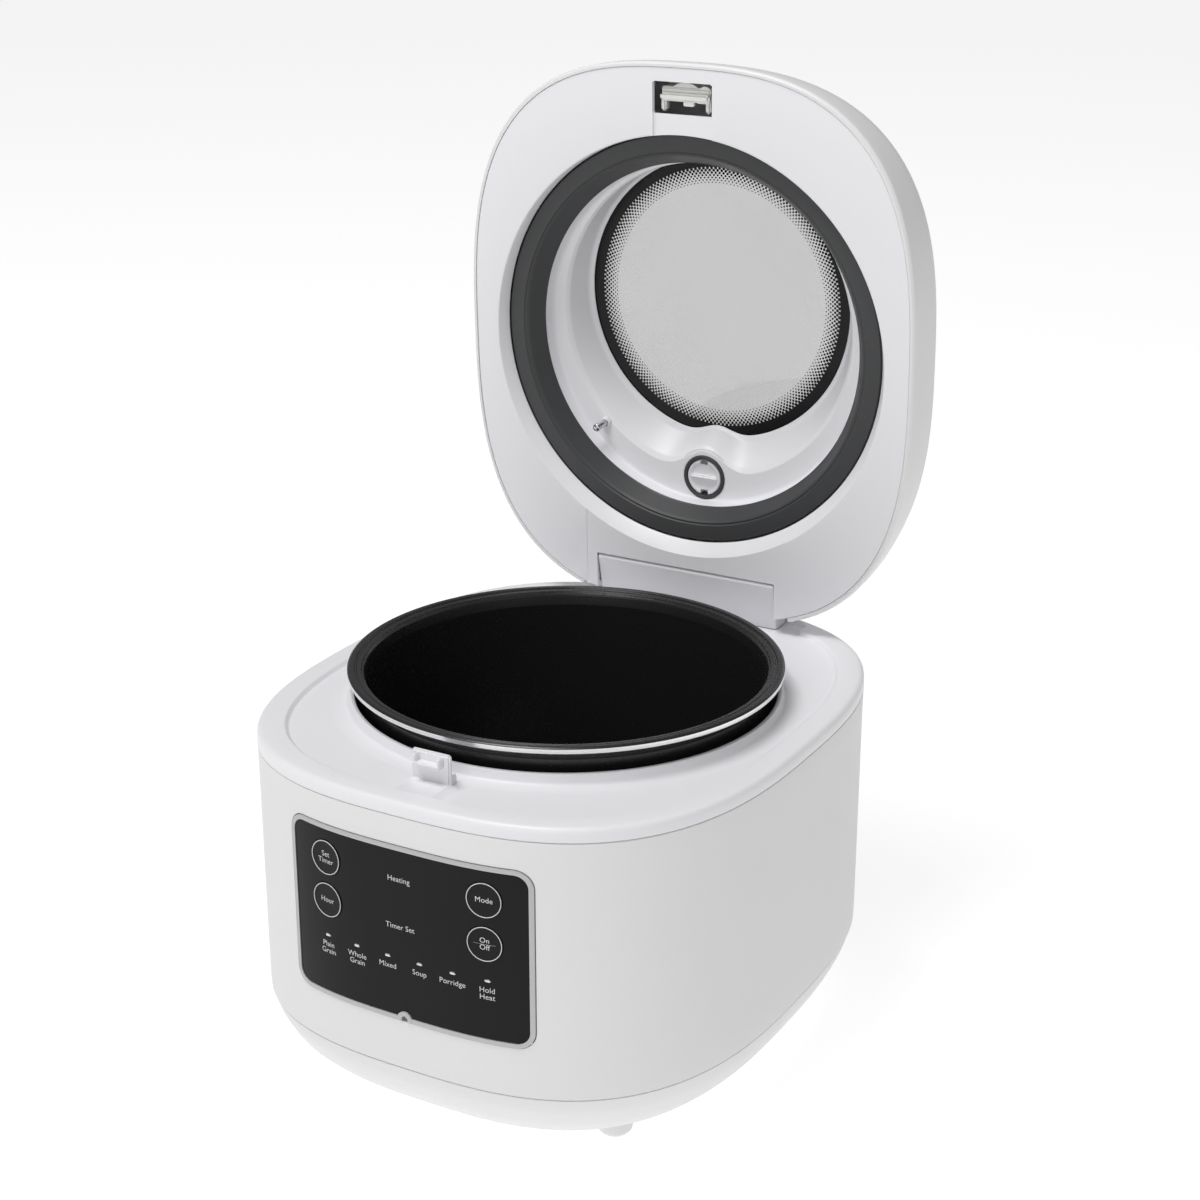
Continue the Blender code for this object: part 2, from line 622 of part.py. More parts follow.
def make_lid_liner(on):
    y = WINDOW_Y
    ledge = -0.0064
    rings = [
        circle(0.0940, 0.2004), circle(0.0934, 0.2078), circle(0.0858, 0.2085, ledge),
        circle(WINDOW_RADIUS, 0.2256, y), circle(0.0812, 0.2258, y), circle(0.0812, 0.2286, y),
        circle(0.0838, 0.2286, y), circle(0.0838, 0.2240, y), circle(0.0884, 0.2107, ledge),
        circle(0.0962, 0.2096), circle(0.0966, 0.2026), circle(0.1085, 0.2026), circle(0.1085, 0.2008),
        circle(0.0960, 0.2004),
    ]
    liner = keep(skin(rings), "lid_liner", on, BRIGHT)
    boss = rod((0, VALVE_Y, 0.2082), (0, VALVE_Y, 0.2200), 0.0160, 32)
    pocket = rod((0, VALVE_Y, 0.2000), (0, VALVE_Y, 0.2170), 0.0126, 32)
    port = rod((0, VALVE_Y, 0.2160), (0, VALVE_Y, 0.2230), 0.0050, 16)
    nub = rod((-0.0612, 0.0574, 0.2083), (-0.0612, 0.0574, 0.2062), 0.0032, 12, 0.0026)
    hole = rod((-0.0612, 0.0574, 0.2040), (-0.0612, 0.0574, 0.2140), 0.0020, 12)
    join(liner, keep(boss, "add_valve_boss", on, BRIGHT), keep(nub, "add_probe_nub", on, BRIGHT))
    cut(
        liner, keep(pocket, "cut_valve_pocket", on, BRIGHT), keep(port, "cut_valve_port", on, BRIGHT),
        keep(hole, "cut_probe_hole", on, BRIGHT),
    )
    probe = [(0.0012, 0.2120), (0.0017, 0.2118), (0.0017, 0.1975), (0.0014, 0.1968)]
    keep(turned(probe, 0.0574, -0.0612, 12, hollow=False), "lid_probe", on, STEEL)


def make_gasket(on):
    plane = LID_PLANE
    rings = [
        circle(0.1102, plane + 0.0074), circle(0.1096, plane + 0.0066), circle(0.1012, plane + 0.0064),
        circle(0.0996, plane + 0.0076), circle(0.0938, plane + 0.0172), circle(0.0958, plane + 0.0174),
        circle(0.1022, plane + 0.0090), circle(0.1102, plane + 0.0088),
    ]
    keep(skin(rings), "lid_gasket", on, RUBBER)


def make_windows(on):
    inner = [(0.0808, 0.2261), (0.0808, 0.2285)]
    keep(turned(inner, WINDOW_Y, count=RING, hollow=False), "window_glass_inner", on, GLASS)
    top = LID_PLANE + LID_DEPTH
    outer = [
        (0.0816, top - 0.0021), (0.0816, top - 0.0004), (0.0780, top + 0.0002), (0.0400, top + 0.0008),
    ]
    keep(turned(outer, WINDOW_Y, count=RING, hollow=False), "window_glass_outer", on, GLASS)


def make_steam_way(lid):
    seal = [(0.0104, 0.2076), (0.0122, 0.2076), (0.0122, 0.2166), (0.0104, 0.2166)]
    keep(turned(seal, VALVE_Y, count=32), "valve_seal", lid, RUBBER)
    on = Holder("valve_axis", (0, VALVE_Y, 0.2080), lid)
    valve = keep(rod((0, VALVE_Y, 0.2078), (0, VALVE_Y, 0.2160), 0.0100, 32), "steam_valve", on, BRIGHT)
    grip = box((-0.0070, VALVE_Y - 0.0009, 0.2066), (0.0070, VALVE_Y + 0.0009, 0.2084))
    join(valve, keep(grip, "add_valve_grip", on, BRIGHT))
    for side in (-1, 1):
        middle = VALVE_Y + side * 0.0090
        notch = sized(0.0022, (middle - 0.0016, middle + 0.0016), (0.2, 0.213))
        cut(valve, keep(notch, f"cut_valve_notch_{side:+d}", on, BRIGHT))
    duct = [(0.0082, 0.2203), (0.0082, 0.2240), (0.0070, 0.2240), (0.0070, 0.2203)]
    keep(turned(duct, VALVE_Y, count=24), "steam_duct", lid, WHITE)


def make_steam_cap(lid):
    y = CAP_Y
    on = Holder("cap_axis", (0, y, 0.2270), lid)
    cap = keep(rod((0, y, 0.2245), (0, y, 0.2322), 0.0146, 24), "steam_cap", on, WHITE)
    hollow = rod((0, y, 0.2230), (0, y, 0.2305), 0.0128, 24)
    cut(cap, keep(hollow, "cut_cap_hollow", on, WHITE))
    for i in range(3):
        x = 0.0055 * (i - 1)
        slot = sized(0.0011, (y - 0.0070, y + 0.0070), (0.2290, 0.2340), centre_x=x)
        cut(cap, keep(slot, f"cut_cap_slot_{i}", on, WHITE))


def make_latch(lid):
    y, z = LATCH_PIVOT_Y, LATCH_PIVOT_Z
    on = Holder("latch_axis", (0, y, z), lid)
    hub = keep(rod((-0.0140, y, z), (0.0140, y, z), 0.0030, 16), "lid_latch", on, BRIGHT)
    arm = box((-0.0140, y - 0.0014, 0.1856), (0.0140, y + 0.0010, z))
    tip = box((-0.0140, y - 0.0014, 0.1862), (0.0140, CATCH_Y - 0.0016, 0.1884))
    lever = box((-0.0060, y - 0.0012, z), (0.0060, y + 0.0012, RELEASE_HEIGHT + 0.0050))
    bore = rod((-0.0200, y, z), (0.0200, y, z), 0.0017, 12)
    for name, mesh in (("arm", arm), ("hook", tip), ("lever", lever)):
        join(hub, keep(mesh, f"add_latch_{name}", on, BRIGHT))
    cut(hub, keep(bore, "cut_latch_bore", on, BRIGHT))
    keep(rod((-0.0175, y, z), (0.0175, y, z), 0.0014, 12), "latch_pin", lid, STEEL)
    coil("latch_spring", on, (0.0145, y, z), (1, 0, 0), 0.0032, 0.0008, 3, 0.0024)


def make_release_button(lid):
    # The key's face leans back with the shell's front, and stands 0.2 mm proud of it.
    z = RELEASE_HEIGHT
    low, high = OUTLINE_Y - LID_HALF_Y + 0.0016, OUTLINE_Y - LID_HALF_Y + 0.0044
    rear = high + 0.0034
    on = Holder("release_axis", (0, low, z), lid)
    side = [(low, z - 0.0054), (high, z + 0.0054), (rear, z + 0.0054), (rear, z - 0.0054)]
    cap = keep(prism(side, 0.0160), "release_button", on, WHITE)
    stem = sized(0.0050, (rear - 0.0010, LATCH_PIVOT_Y - 0.0018), (z + 0.0022, z + 0.0040))
    join(cap, keep(stem, "add_release_stem", on, WHITE))


# ---- assembly -----------------------------------------------------------------------------
def clear_scene():
    for thing in list(bpy.data.objects):
        bpy.data.objects.remove(thing, do_unlink=True)


def build():
    clear_scene()
    body = Holder("cooker")
    lid = Holder("lid_hinge_axis", (0, HINGE_Y, HINGE_Z), body)
    feet = [
        (f"foot_{end}_{side}", sx * FOOT_X, y)
        for y, end in ((FOOT_FRONT_Y, "front"), (FOOT_REAR_Y, "rear"))
        for sx, side in ((-1, "left"), (1, "right"))
    ]
    make_body_shell(body)
    make_top_deck(body)
    make_base_tray(body, feet)
    for foot in feet:
        make_foot(body, *foot)
    make_control_panel(body)
    make_indicator_lights(body)
    for button in buttons():
        make_button(body, *button)
    make_electronics(body)
    make_power_inlet(body)
    make_heating(body)
    make_pot(make_sensor(body))
    make_hinge(body)
    make_lid_panel(lid)
    make_lid_shell(lid)
    make_lid_liner(lid)
    make_gasket(lid)
    make_windows(lid)
    make_steam_way(lid)
    make_steam_cap(lid)
    make_latch(lid)
    make_release_button(lid)
    body.empty.location.y = POT_AXIS_Y
    lid.empty.rotation_euler.x = -LID_OPEN


build()
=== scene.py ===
"""Looks for the rice cooker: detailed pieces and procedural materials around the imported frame.

Everything is drawn in the cooker's own axes (pot centre line at x = y = 0, lid shut, metres)
and moved into the frame's axes at the end, by COOKER for the housing and LID for the open lid.
"""
import math

import bmesh
import bpy
from mathutils import Matrix, Vector


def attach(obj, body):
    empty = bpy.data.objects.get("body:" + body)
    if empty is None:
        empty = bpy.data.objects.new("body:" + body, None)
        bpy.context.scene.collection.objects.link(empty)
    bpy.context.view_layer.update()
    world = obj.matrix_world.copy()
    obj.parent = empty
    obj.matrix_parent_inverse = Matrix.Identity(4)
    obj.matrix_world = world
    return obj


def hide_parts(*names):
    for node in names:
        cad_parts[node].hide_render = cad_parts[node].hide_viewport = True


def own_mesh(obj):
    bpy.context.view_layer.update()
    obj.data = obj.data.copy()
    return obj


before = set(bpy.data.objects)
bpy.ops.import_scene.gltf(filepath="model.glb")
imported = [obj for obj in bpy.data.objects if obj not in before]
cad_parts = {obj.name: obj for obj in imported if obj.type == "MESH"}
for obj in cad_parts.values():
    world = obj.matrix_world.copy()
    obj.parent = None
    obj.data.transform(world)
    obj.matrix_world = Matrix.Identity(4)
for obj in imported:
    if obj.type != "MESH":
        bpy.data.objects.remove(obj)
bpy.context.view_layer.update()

# ---- the CAD's driving dimensions --------------------------------------------------------
POT_AXIS_Y = -0.0135
SHAPE_POWER, OUTLINE_Y = 2.83, 0.0031
BODY_HALF_X, BODY_HALF_Y, BODY_WALL = 0.1343, 0.1548, 0.0025
BASE_BOTTOM, BASE_SEAM = 0.0112, 0.0418
DECK_SEAM, DECK_TOP, DECK_FLOOR = 0.1738, 0.1810, 0.1788
COLLAR_TOP, COLLAR_RADIUS = 0.1845, 0.1068
POT_BOTTOM = 0.0580
LID_HALF_X, LID_HALF_Y, LID_PLANE, LID_DEPTH = 0.1305, 0.1504, 0.1826, 0.0510
LID_TOP = LID_PLANE + LID_DEPTH
LID_RIM, LID_SEAM = 0.0055, 0.0027
WINDOW_Y, VALVE_Y, CAP_Y = -0.0158, 0.0806, 0.0960
PROBE_X, PROBE_Y = -0.0612, 0.0574
HINGE_Y, HINGE_Z, LID_OPEN = 0.1393, 0.1938, math.radians(88.0)
BLOCK_HALF_X, BLOCK_REACH, EAR_X, PIN_RADIUS = 0.0540, 0.0174, 0.0586, 0.0030
PANEL_HALF_X, PANEL_LOW, PANEL_HIGH, PANEL_CORNER = 0.0667, 0.0680, 0.1590, 0.0090
BEZEL_WIDTH, PANEL_SUNK = 0.0023, 0.0002
BUTTON_X, BUTTON_LOW, BUTTON_HIGH, BUTTON_RADIUS = 0.0435, 0.1196, 0.1418, 0.0090
INDICATOR_HEIGHT, INDICATOR_PITCH = 0.1005, 0.0177
CATCH_Y = -0.1247
LATCH_Y, LATCH_Z, RELEASE_HEIGHT = -0.1330, 0.1985, 0.2040
FOOT_X, FOOT_FRONT_Y, FOOT_REAR_Y = 0.0795, -0.0920, 0.0940

# ---- how finely things are drawn, and where they are seen from -----------------------------
RING = 176
EDGE_ANGLE, SMOOTH_ANGLE = math.radians(35), math.radians(32)
CAMERA_PLACE, CAMERA_AIM, CAMERA_LENS = (0.5308, -0.9224, 0.6181), (-0.4600, 0.8176, -0.3462), 67.46

# ---- from the cooker's own axes to the frame's ---------------------------------------------
COOKER = Matrix.Translation((0, POT_AXIS_Y, 0))
LID = (
    COOKER @ Matrix.Translation((0, HINGE_Y, HINGE_Z)) @ Matrix.Rotation(-LID_OPEN, 4, "X")
    @ Matrix.Translation((0, -HINGE_Y, -HINGE_Z))
)


# ---- materials ----------------------------------------------------------------------------
def node_material(name):
    """A new material, its nodes, its links and its Principled BSDF."""
    made = bpy.data.materials.new(name)
    made.use_nodes = True
    return made, made.node_tree.nodes, made.node_tree.links, made.node_tree.nodes["Principled BSDF"]


def noise(nodes, links, scale, detail=3.0, roughness=0.5):
    """An object-space noise texture; scale is in cycles per metre."""
    point = nodes.new("ShaderNodeTexCoord")
    texture = nodes.new("ShaderNodeTexNoise")
    texture.inputs["Scale"].default_value = scale
    texture.inputs["Detail"].default_value = detail
    texture.inputs["Roughness"].default_value = roughness
    links.new(point.outputs["Object"], texture.inputs["Vector"])
    return texture.outputs["Fac"]


def ranged(nodes, links, value, low, high, start=0.35, end=0.65):
    """The value, spread from start..end to low..high."""
    step = nodes.new("ShaderNodeMapRange")
    step.inputs["From Min"].default_value = start
    step.inputs["From Max"].default_value = end
    step.inputs["To Min"].default_value = low
    step.inputs["To Max"].default_value = high
    links.new(value, step.inputs["Value"])
    return step.outputs["Result"]


def mixed(nodes, links, value, first, second):
    mix = nodes.new("ShaderNodeMix")
    mix.data_type = "RGBA"
    mix.inputs["A"].default_value = (*first, 1.0)
    mix.inputs["B"].default_value = (*second, 1.0)
    links.new(value, mix.inputs["Factor"])
    return mix.outputs["Result"]


def bumped(nodes, links, bsdf, value, strength, distance):
    bump = nodes.new("ShaderNodeBump")
    bump.inputs["Strength"].default_value = strength
    bump.inputs["Distance"].default_value = distance
    links.new(value, bump.inputs["Height"])
    links.new(bump.outputs["Normal"], bsdf.inputs["Normal"])


def moulded(name, colour, rough, spread, tint, grain, depth, specular=0.5):
    """Moulded plastic, rubber or paint: faint colour drift, uneven gloss and a fine texture."""
    made, nodes, links, bsdf = node_material(name)
    drift = noise(nodes, links, 9.0, 4.0)
    dark = [c * (1 - tint) for c in colour]
    light = [min(1.0, c * (1 + tint)) for c in colour]
    shade = mixed(nodes, links, ranged(nodes, links, drift, 0, 1), dark, light)
    links.new(shade, bsdf.inputs["Base Color"])
    gloss = noise(nodes, links, 55.0, 5.0, 0.6)
    links.new(ranged(nodes, links, gloss, rough - spread, rough + spread), bsdf.inputs["Roughness"])
    bumped(nodes, links, bsdf, noise(nodes, links, grain, 2.0), depth, 0.00006)
    bsdf.inputs["Specular IOR Level"].default_value = specular
    return made


def metal(name, colour, rough, streak=(1, 1, 60), scale=40.0, depth=0.06, metallic=1.0):
    """Metal with fine drawn streaks along one axis."""
    made, nodes, links, bsdf = node_material(name)
    point = nodes.new("ShaderNodeTexCoord")
    stretch = nodes.new("ShaderNodeMapping")
    stretch.inputs["Scale"].default_value = streak
    texture = nodes.new("ShaderNodeTexNoise")
    texture.inputs["Scale"].default_value = scale
    texture.inputs["Detail"].default_value = 6.0
    links.new(point.outputs["Object"], stretch.inputs["Vector"])
    links.new(stretch.outputs["Vector"], texture.inputs["Vector"])
    value = texture.outputs["Fac"]
    dark = [c * 0.88 for c in colour]
    light = [min(1.0, c * 1.12) for c in colour]
    links.new(mixed(nodes, links, value, dark, light), bsdf.inputs["Base Color"])
    links.new(ranged(nodes, links, value, rough * 0.8, rough * 1.25), bsdf.inputs["Roughness"])
    bumped(nodes, links, bsdf, value, depth, 0.0001)
    bsdf.inputs["Metallic"].default_value = metallic
    return made


def coated(name):
    """Dark non-stick coating with a fine orange peel and a few lighter flecks."""
    made, nodes, links, bsdf = node_material(name)
    flecks = nodes.new("ShaderNodeTexVoronoi")
    flecks.inputs["Scale"].default_value = 1500.0
    point = nodes.new("ShaderNodeTexCoord")
    links.new(point.outputs["Object"], flecks.inputs["Vector"])
    fleck = ranged(nodes, links, flecks.outputs["Distance"], 1.0, 0.0, 0.05, 0.12)
    shade = mixed(nodes, links, fleck, (0.0135, 0.0135, 0.0138), (0.0150, 0.0150, 0.0154))
    links.new(shade, bsdf.inputs["Base Color"])
    peel = noise(nodes, links, 900.0, 3.0)
    links.new(ranged(nodes, links, peel, 0.25, 0.275), bsdf.inputs["Roughness"])
    bumped(nodes, links, bsdf, peel, 0.01, 0.00004)
    bsdf.inputs["Specular IOR Level"].default_value = 0.55
    return made


def pane(name, tint):
    """Glass with faint unevenness; one tint at each surface."""
    made, nodes, links, bsdf = node_material(name)
    smudge = noise(nodes, links, 18.0, 4.0)
    darker = [c * 0.985 for c in tint]
    shade = mixed(nodes, links, ranged(nodes, links, smudge, 0, 1), tint, darker)
    links.new(shade, bsdf.inputs["Base Color"])
    links.new(ranged(nodes, links, smudge, 0.0, 0.03), bsdf.inputs["Roughness"])
    bsdf.inputs["Transmission Weight"].default_value = 1.0
    bsdf.inputs["IOR"].default_value = 1.47
    return made


SATIN = moulded("satin_white", (0.800, 0.800, 0.798), 0.44, 0.025, 0.005, 1500, 0.08)
GLOSS = moulded("gloss_white", (0.855, 0.853, 0.880), 0.34, 0.015, 0.003, 1700, 0.03, 0.4)
LATCH_WHITE = moulded("latch_white", (0.80, 0.80, 0.77), 0.34, 0.05, 0.02, 900, 0.08)
BLACK = moulded("panel_black", (0.0095, 0.0095, 0.0100), 0.16, 0.02, 0.05, 900, 0.01, 0.14)
BUTTON_BLACK = moulded("button_black", (0.0090, 0.0090, 0.0095), 0.14, 0.02, 0.05, 900, 0.01, 0.16)
DARK = moulded("dark_nylon", (0.020, 0.020, 0.021), 0.55, 0.06, 0.15, 900, 0.25)
RUBBER = moulded("grey_silicone", (0.056, 0.057, 0.059), 0.44, 0.04, 0.06, 1300, 0.12, 0.35)
PRINT = moulded("white_print", (0.66, 0.66, 0.68), 0.50, 0.03, 0.02, 2000, 0.05)
LENS = moulded("indicator_lens", (0.88, 0.88, 0.90), 0.30, 0.04, 0.01, 900, 0.05)
BLACK_PRINT = moulded("black_enamel", (0.0045, 0.0045, 0.0045), 0.22, 0.03, 0.10, 900, 0.02, 0.22)
BOARD = moulded("green_laminate", (0.02, 0.14, 0.06), 0.42, 0.06, 0.12, 400, 0.10)
SILVER = metal("silver_paint", (0.50, 0.50, 0.50), 0.45, (60, 60, 1), 30.0, 0.03, 0.55)
STEEL = metal("bright_steel", (0.62, 0.62, 0.63), 0.20)
BARE = metal("bare_aluminium", (0.86, 0.86, 0.86), 0.26, (1, 1, 90), 60.0, 0.03)
CAST = metal("cast_aluminium", (0.50, 0.50, 0.51), 0.42, (1, 1, 1), 300.0, 0.20)
COATING = coated("pot_coating")
GLASS = pane("window_glass", (0.74, 0.74, 0.74))


# ---- meshes -------------------------------------------------------------------------------
def angles(count=RING):
    return [2 * math.pi * i / count for i in range(count)]


def squircle(half_x, half_y, z, centre_y=OUTLINE_Y):
    """A rounded square, the superellipse that the body and the lid share."""
    ring = []
    for angle in angles():
        across, along = math.cos(angle), math.sin(angle)
        total = (abs(across) / half_x) ** SHAPE_POWER + (abs(along) / half_y) ** SHAPE_POWER
        reach = total ** (-1 / SHAPE_POWER)
        ring.append(Vector((reach * across, centre_y + reach * along, z)))
    return ring


def body_ring(inset, z):
    return squircle(BODY_HALF_X - inset, BODY_HALF_Y - inset, z)


def lid_ring(inset, height):
    return squircle(LID_HALF_X - inset, LID_HALF_Y - inset, LID_PLANE + height)


def lid_section(height, side, front, rear, wall=0.0):
    """A level section of the dome, pulled in by its own amount at the sides, front and rear."""
    half_y = LID_HALF_Y - wall - (front + rear) / 2
    middle = OUTLINE_Y + (front - rear) / 2
    return squircle(LID_HALF_X - wall - side, half_y, LID_PLANE + height, middle)


def circle(radius, z, centre_y=0.0, centre_x=0.0, count=RING):
    return [
        Vector((centre_x + radius * math.cos(a), centre_y + radius * math.sin(a), z))
        for a in angles(count)
    ]


def corner(before, at, after, radius, steps):
    """Points that round one corner of a line."""
    back, ahead = before - at, after - at
    limit = 0.48 * min(back.length, ahead.length)
    if back.length < 1e-9 or ahead.length < 1e-9:
        return [at.copy() for _ in range(steps + 1)]
    angle = max(back.angle(ahead), 0.02)
    reach = min(radius / math.tan(angle / 2), limit)
    start, end = at + back.normalized() * reach, at + ahead.normalized() * reach
    ratios = [k / steps for k in range(steps + 1)]
    return [start * (1 - w) ** 2 + at * 2 * w * (1 - w) + end * w * w for w in ratios]


def softened(rings, steps=4, hollow=True):
    """Sections from (section, radius) pairs, with each corner rounded point by point."""
    out = []
    count = len(rings)
    for i, (ring, radius) in enumerate(rings):
        if radius <= 0 or (not hollow and i in (0, count - 1)):
            out.append(ring)
            continue
        before, after = rings[i - 1][0], rings[(i + 1) % count][0]
        lines = [corner(before[j], ring[j], after[j], radius, steps) for j in range(len(ring))]
        out += [[line[k] for line in lines] for k in range(steps + 1)]
    return out


def finished(bm):
    """The mesh of a bmesh, with its doubles welded and its faces pointing out."""
    bmesh.ops.remove_doubles(bm, verts=bm.verts, dist=1e-7)
    bmesh.ops.recalc_face_normals(bm, faces=bm.faces)
    mesh = bpy.data.meshes.new("mesh")
    bm.to_mesh(mesh)
    bm.free()
    return mesh


def skin(rings, hollow=True, second=()):
    """Bridge sections in order. Bands whose number is in second take the second material."""
    bm = bmesh.new()
    loops = [[bm.verts.new(p) for p in ring] for ring in rings]
    pairs = list(zip(loops, loops[1:]))
    if hollow:
        pairs.append((loops[-1], loops[0]))
    for band, (low, high) in enumerate(pairs):
        for i in range(len(low)):
            j = (i + 1) % len(low)
            face = bm.faces.new((low[i], low[j], high[j], high[i]))
            face.material_index = 1 if band in second else 0
    if not hollow:
        bm.faces.new(loops[0])
        bm.faces.new(loops[-1])
    return finished(bm)


def turned(profile, centre_y=0.0, centre_x=0.0, count=72, hollow=True, steps=4):
    """A turned body from (radius, z, rounding) triples."""
    rings = [(circle(r, z, centre_y, centre_x, count), soft) for r, z, soft in profile]
    return skin(softened(rings, steps, hollow), hollow)


def changed(mesh, *settings):
    """The mesh after modifiers, each given as (type, {setting: value})."""
    holder = bpy.data.objects.new("holder", mesh)
    bpy.context.collection.objects.link(holder)
    for kind, values in settings:
        step = holder.modifiers.new(kind, kind)
        for key, value in values.items():
            setattr(step, key, value)
    bpy.context.view_layer.update()
    graph = bpy.context.evaluated_depsgraph_get()
    made = bpy.data.meshes.new_from_object(holder.evaluated_get(graph))
    bpy.data.objects.remove(holder, do_unlink=True)
    return made


def bevelled(mesh, width, segments=2):
    return changed(mesh, ("BEVEL", {
        "width": width, "segments": segments, "limit_method": "ANGLE",
        "angle_limit": EDGE_ANGLE, "miter_outer": "MITER_ARC",
    }))


def combined(mesh, tools, operation):
    """The mesh after one Boolean with each tool."""
    helpers = []
    steps = []
    for tool in tools:
        helper = bpy.data.objects.new("tool", tool)
        bpy.context.collection.objects.link(helper)
        helpers.append(helper)
        steps.append(("BOOLEAN", {"operation": operation, "object": helper, "solver": "EXACT"}))
    made = changed(mesh, *steps)
    for helper in helpers:
        bpy.data.objects.remove(helper, do_unlink=True)
    return made


def cut(mesh, *tools):
    return combined(mesh, tools, "DIFFERENCE")


def join(mesh, *tools):
    return combined(mesh, tools, "UNION")


def merged(*meshes):
    """Several meshes as one, without a Boolean."""
    bm = bmesh.new()
    for mesh in meshes:
        bm.from_mesh(mesh)
    made = bpy.data.meshes.new("mesh")
    bm.to_mesh(made)
    bm.free()
    return made


def box(low, high, bevel=0.0, segments=3):
    bm = bmesh.new()
    bmesh.ops.create_cube(bm, size=1.0)
    size = [end - start for start, end in zip(low, high)]
    middle = [(end + start) / 2 for start, end in zip(low, high)]
    bmesh.ops.scale(bm, vec=size, verts=bm.verts)
    bmesh.ops.translate(bm, vec=middle, verts=bm.verts)
    if bevel:
        bmesh.ops.bevel(bm, geom=bm.edges[:], offset=bevel, segments=segments, affect="EDGES")
    return finished(bm)


def sized(half_x, y, z, bevel=0.0, centre_x=0.0):
    """A box from its half width and its (low, high) pairs in y and z."""
    return box((centre_x - half_x, y[0], z[0]), (centre_x + half_x, y[1], z[1]), bevel)


def rod(start, end, radius, sides=48, radius_end=None):
    start, end = Vector(start), Vector(end)
    along = end - start
    bm = bmesh.new()
    bmesh.ops.create_cone(
        bm, cap_ends=True, segments=sides, radius1=radius, depth=along.length,
        radius2=radius if radius_end is None else radius_end,
    )
    turn = along.to_track_quat("Z", "Y").to_matrix().to_4x4()
    bm.transform(Matrix.Translation((start + end) / 2) @ turn)
    return finished(bm)


def prism(outline, half_x):
    """A (y, z) outline extruded to both sides of x = 0."""
    return skin([[Vector((x, y, z)) for y, z in outline] for x in (-half_x, half_x)], hollow=False)


def place(name, mesh, body, materials, replaced=(), lid=False):
    """Put a finished mesh into the frame and tie it to its body."""
    mesh.transform(LID if lid else COOKER)
    mesh.name = name
    for made in materials if isinstance(materials, (list, tuple)) else [materials]:
        mesh.materials.append(made)
    mesh.shade_smooth()
    mesh.set_sharp_from_angle(angle=SMOOTH_ANGLE)
    piece = bpy.data.objects.new(name, mesh)
    bpy.context.collection.objects.link(piece)
    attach(piece, body)
    if replaced:
        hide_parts(*replaced)
    return piece


# ---- the curved front ---------------------------------------------------------------------
def front_y(x):
    """Where the front wall's outer face lies at x."""
    return OUTLINE_Y - BODY_HALF_Y * (1 - abs(x / BODY_HALF_X) ** SHAPE_POWER) ** (1 / SHAPE_POWER)


def front_normal(x):
    step = 1e-5
    slope = (front_y(x + step) - front_y(x - step)) / (2 * step)
    return Vector((slope, -1.0, 0.0)).normalized()


def front_plate(shrink, proud, depth):
    """A plate that follows the front wall: the panel's outline made smaller by shrink."""
    half_x = PANEL_HALF_X - shrink
    low, high = PANEL_LOW + shrink, PANEL_HIGH - shrink
    round_off = max(PANEL_CORNER - shrink, 0.002)
    turns = [math.radians(90 * i / 10) for i in range(11)]
    stations = [(-half_x + round_off * (1 - math.cos(a)), round_off * (1 - math.sin(a))) for a in turns]
    flat = half_x - round_off
    stations += [(flat * (i / 12 - 1), 0.0) for i in range(1, 24)]
    stations += [(-x, rise) for x, rise in reversed(stations[:len(turns)])]
    front = [Vector((x, front_y(x) - proud, low + rise)) for x, rise in stations]
    front += [Vector((x, front_y(x) - proud, high - rise)) for x, rise in reversed(stations)]
    back = [p + Vector((0, depth, 0)) for p in front]
    bm = bmesh.new()
    count = len(stations)
    faces = [[bm.verts.new(p) for p in side] for side in (front, back)]
    for side in faces:
        for i in range(count - 1):
            bm.faces.new((side[i], side[i + 1], side[-2 - i], side[-1 - i]))
    for i in range(2 * count):
        j = (i + 1) % (2 * count)
        bm.faces.new((faces[0][i], faces[0][j], faces[1][j], faces[1][i]))
    return finished(bm)


def indicator_places():
    return [INDICATOR_PITCH * (i - 2.5) for i in range(6)]


BUTTONS = [
    (f"button_{row}_{side}", sign * BUTTON_X, z)
    for z, row in ((BUTTON_LOW, "lower"), (BUTTON_HIGH, "upper"))
    for sign, side in ((-1, "left"), (1, "right"))
]
FEET = [
    (f"foot_{end}_{side}", sign * FOOT_X, y)
    for y, end in ((FOOT_FRONT_Y, "front"), (FOOT_REAR_Y, "rear"))
    for sign, side in ((-1, "left"), (1, "right"))
]


# ---- housing ------------------------------------------------------------------------------
def make_body_shell():
    low, high = BASE_SEAM + 0.0003, DECK_SEAM - 0.0002
    rings = [(body_ring(0.0003, low), 0.0004)]
    rings += [(body_ring(0.0002, low + 0.012 * i), 0) for i in range(1, 11)]
    rings += [
        (body_ring(0.0, high), 0.0005), (body_ring(BODY_WALL, high), 0.0003),
        (body_ring(BODY_WALL + 0.0003, low), 0.0003),
    ]
    shell = skin(softened(rings))
    inlet = sized(0.0152, (0.140, 0.170), (0.0568, 0.0822))
    shell = cut(shell, front_plate(-0.0004, 0.006, 0.020), inlet)
    place("cooker_wall", shell, "housing", SATIN, ["body_shell"])


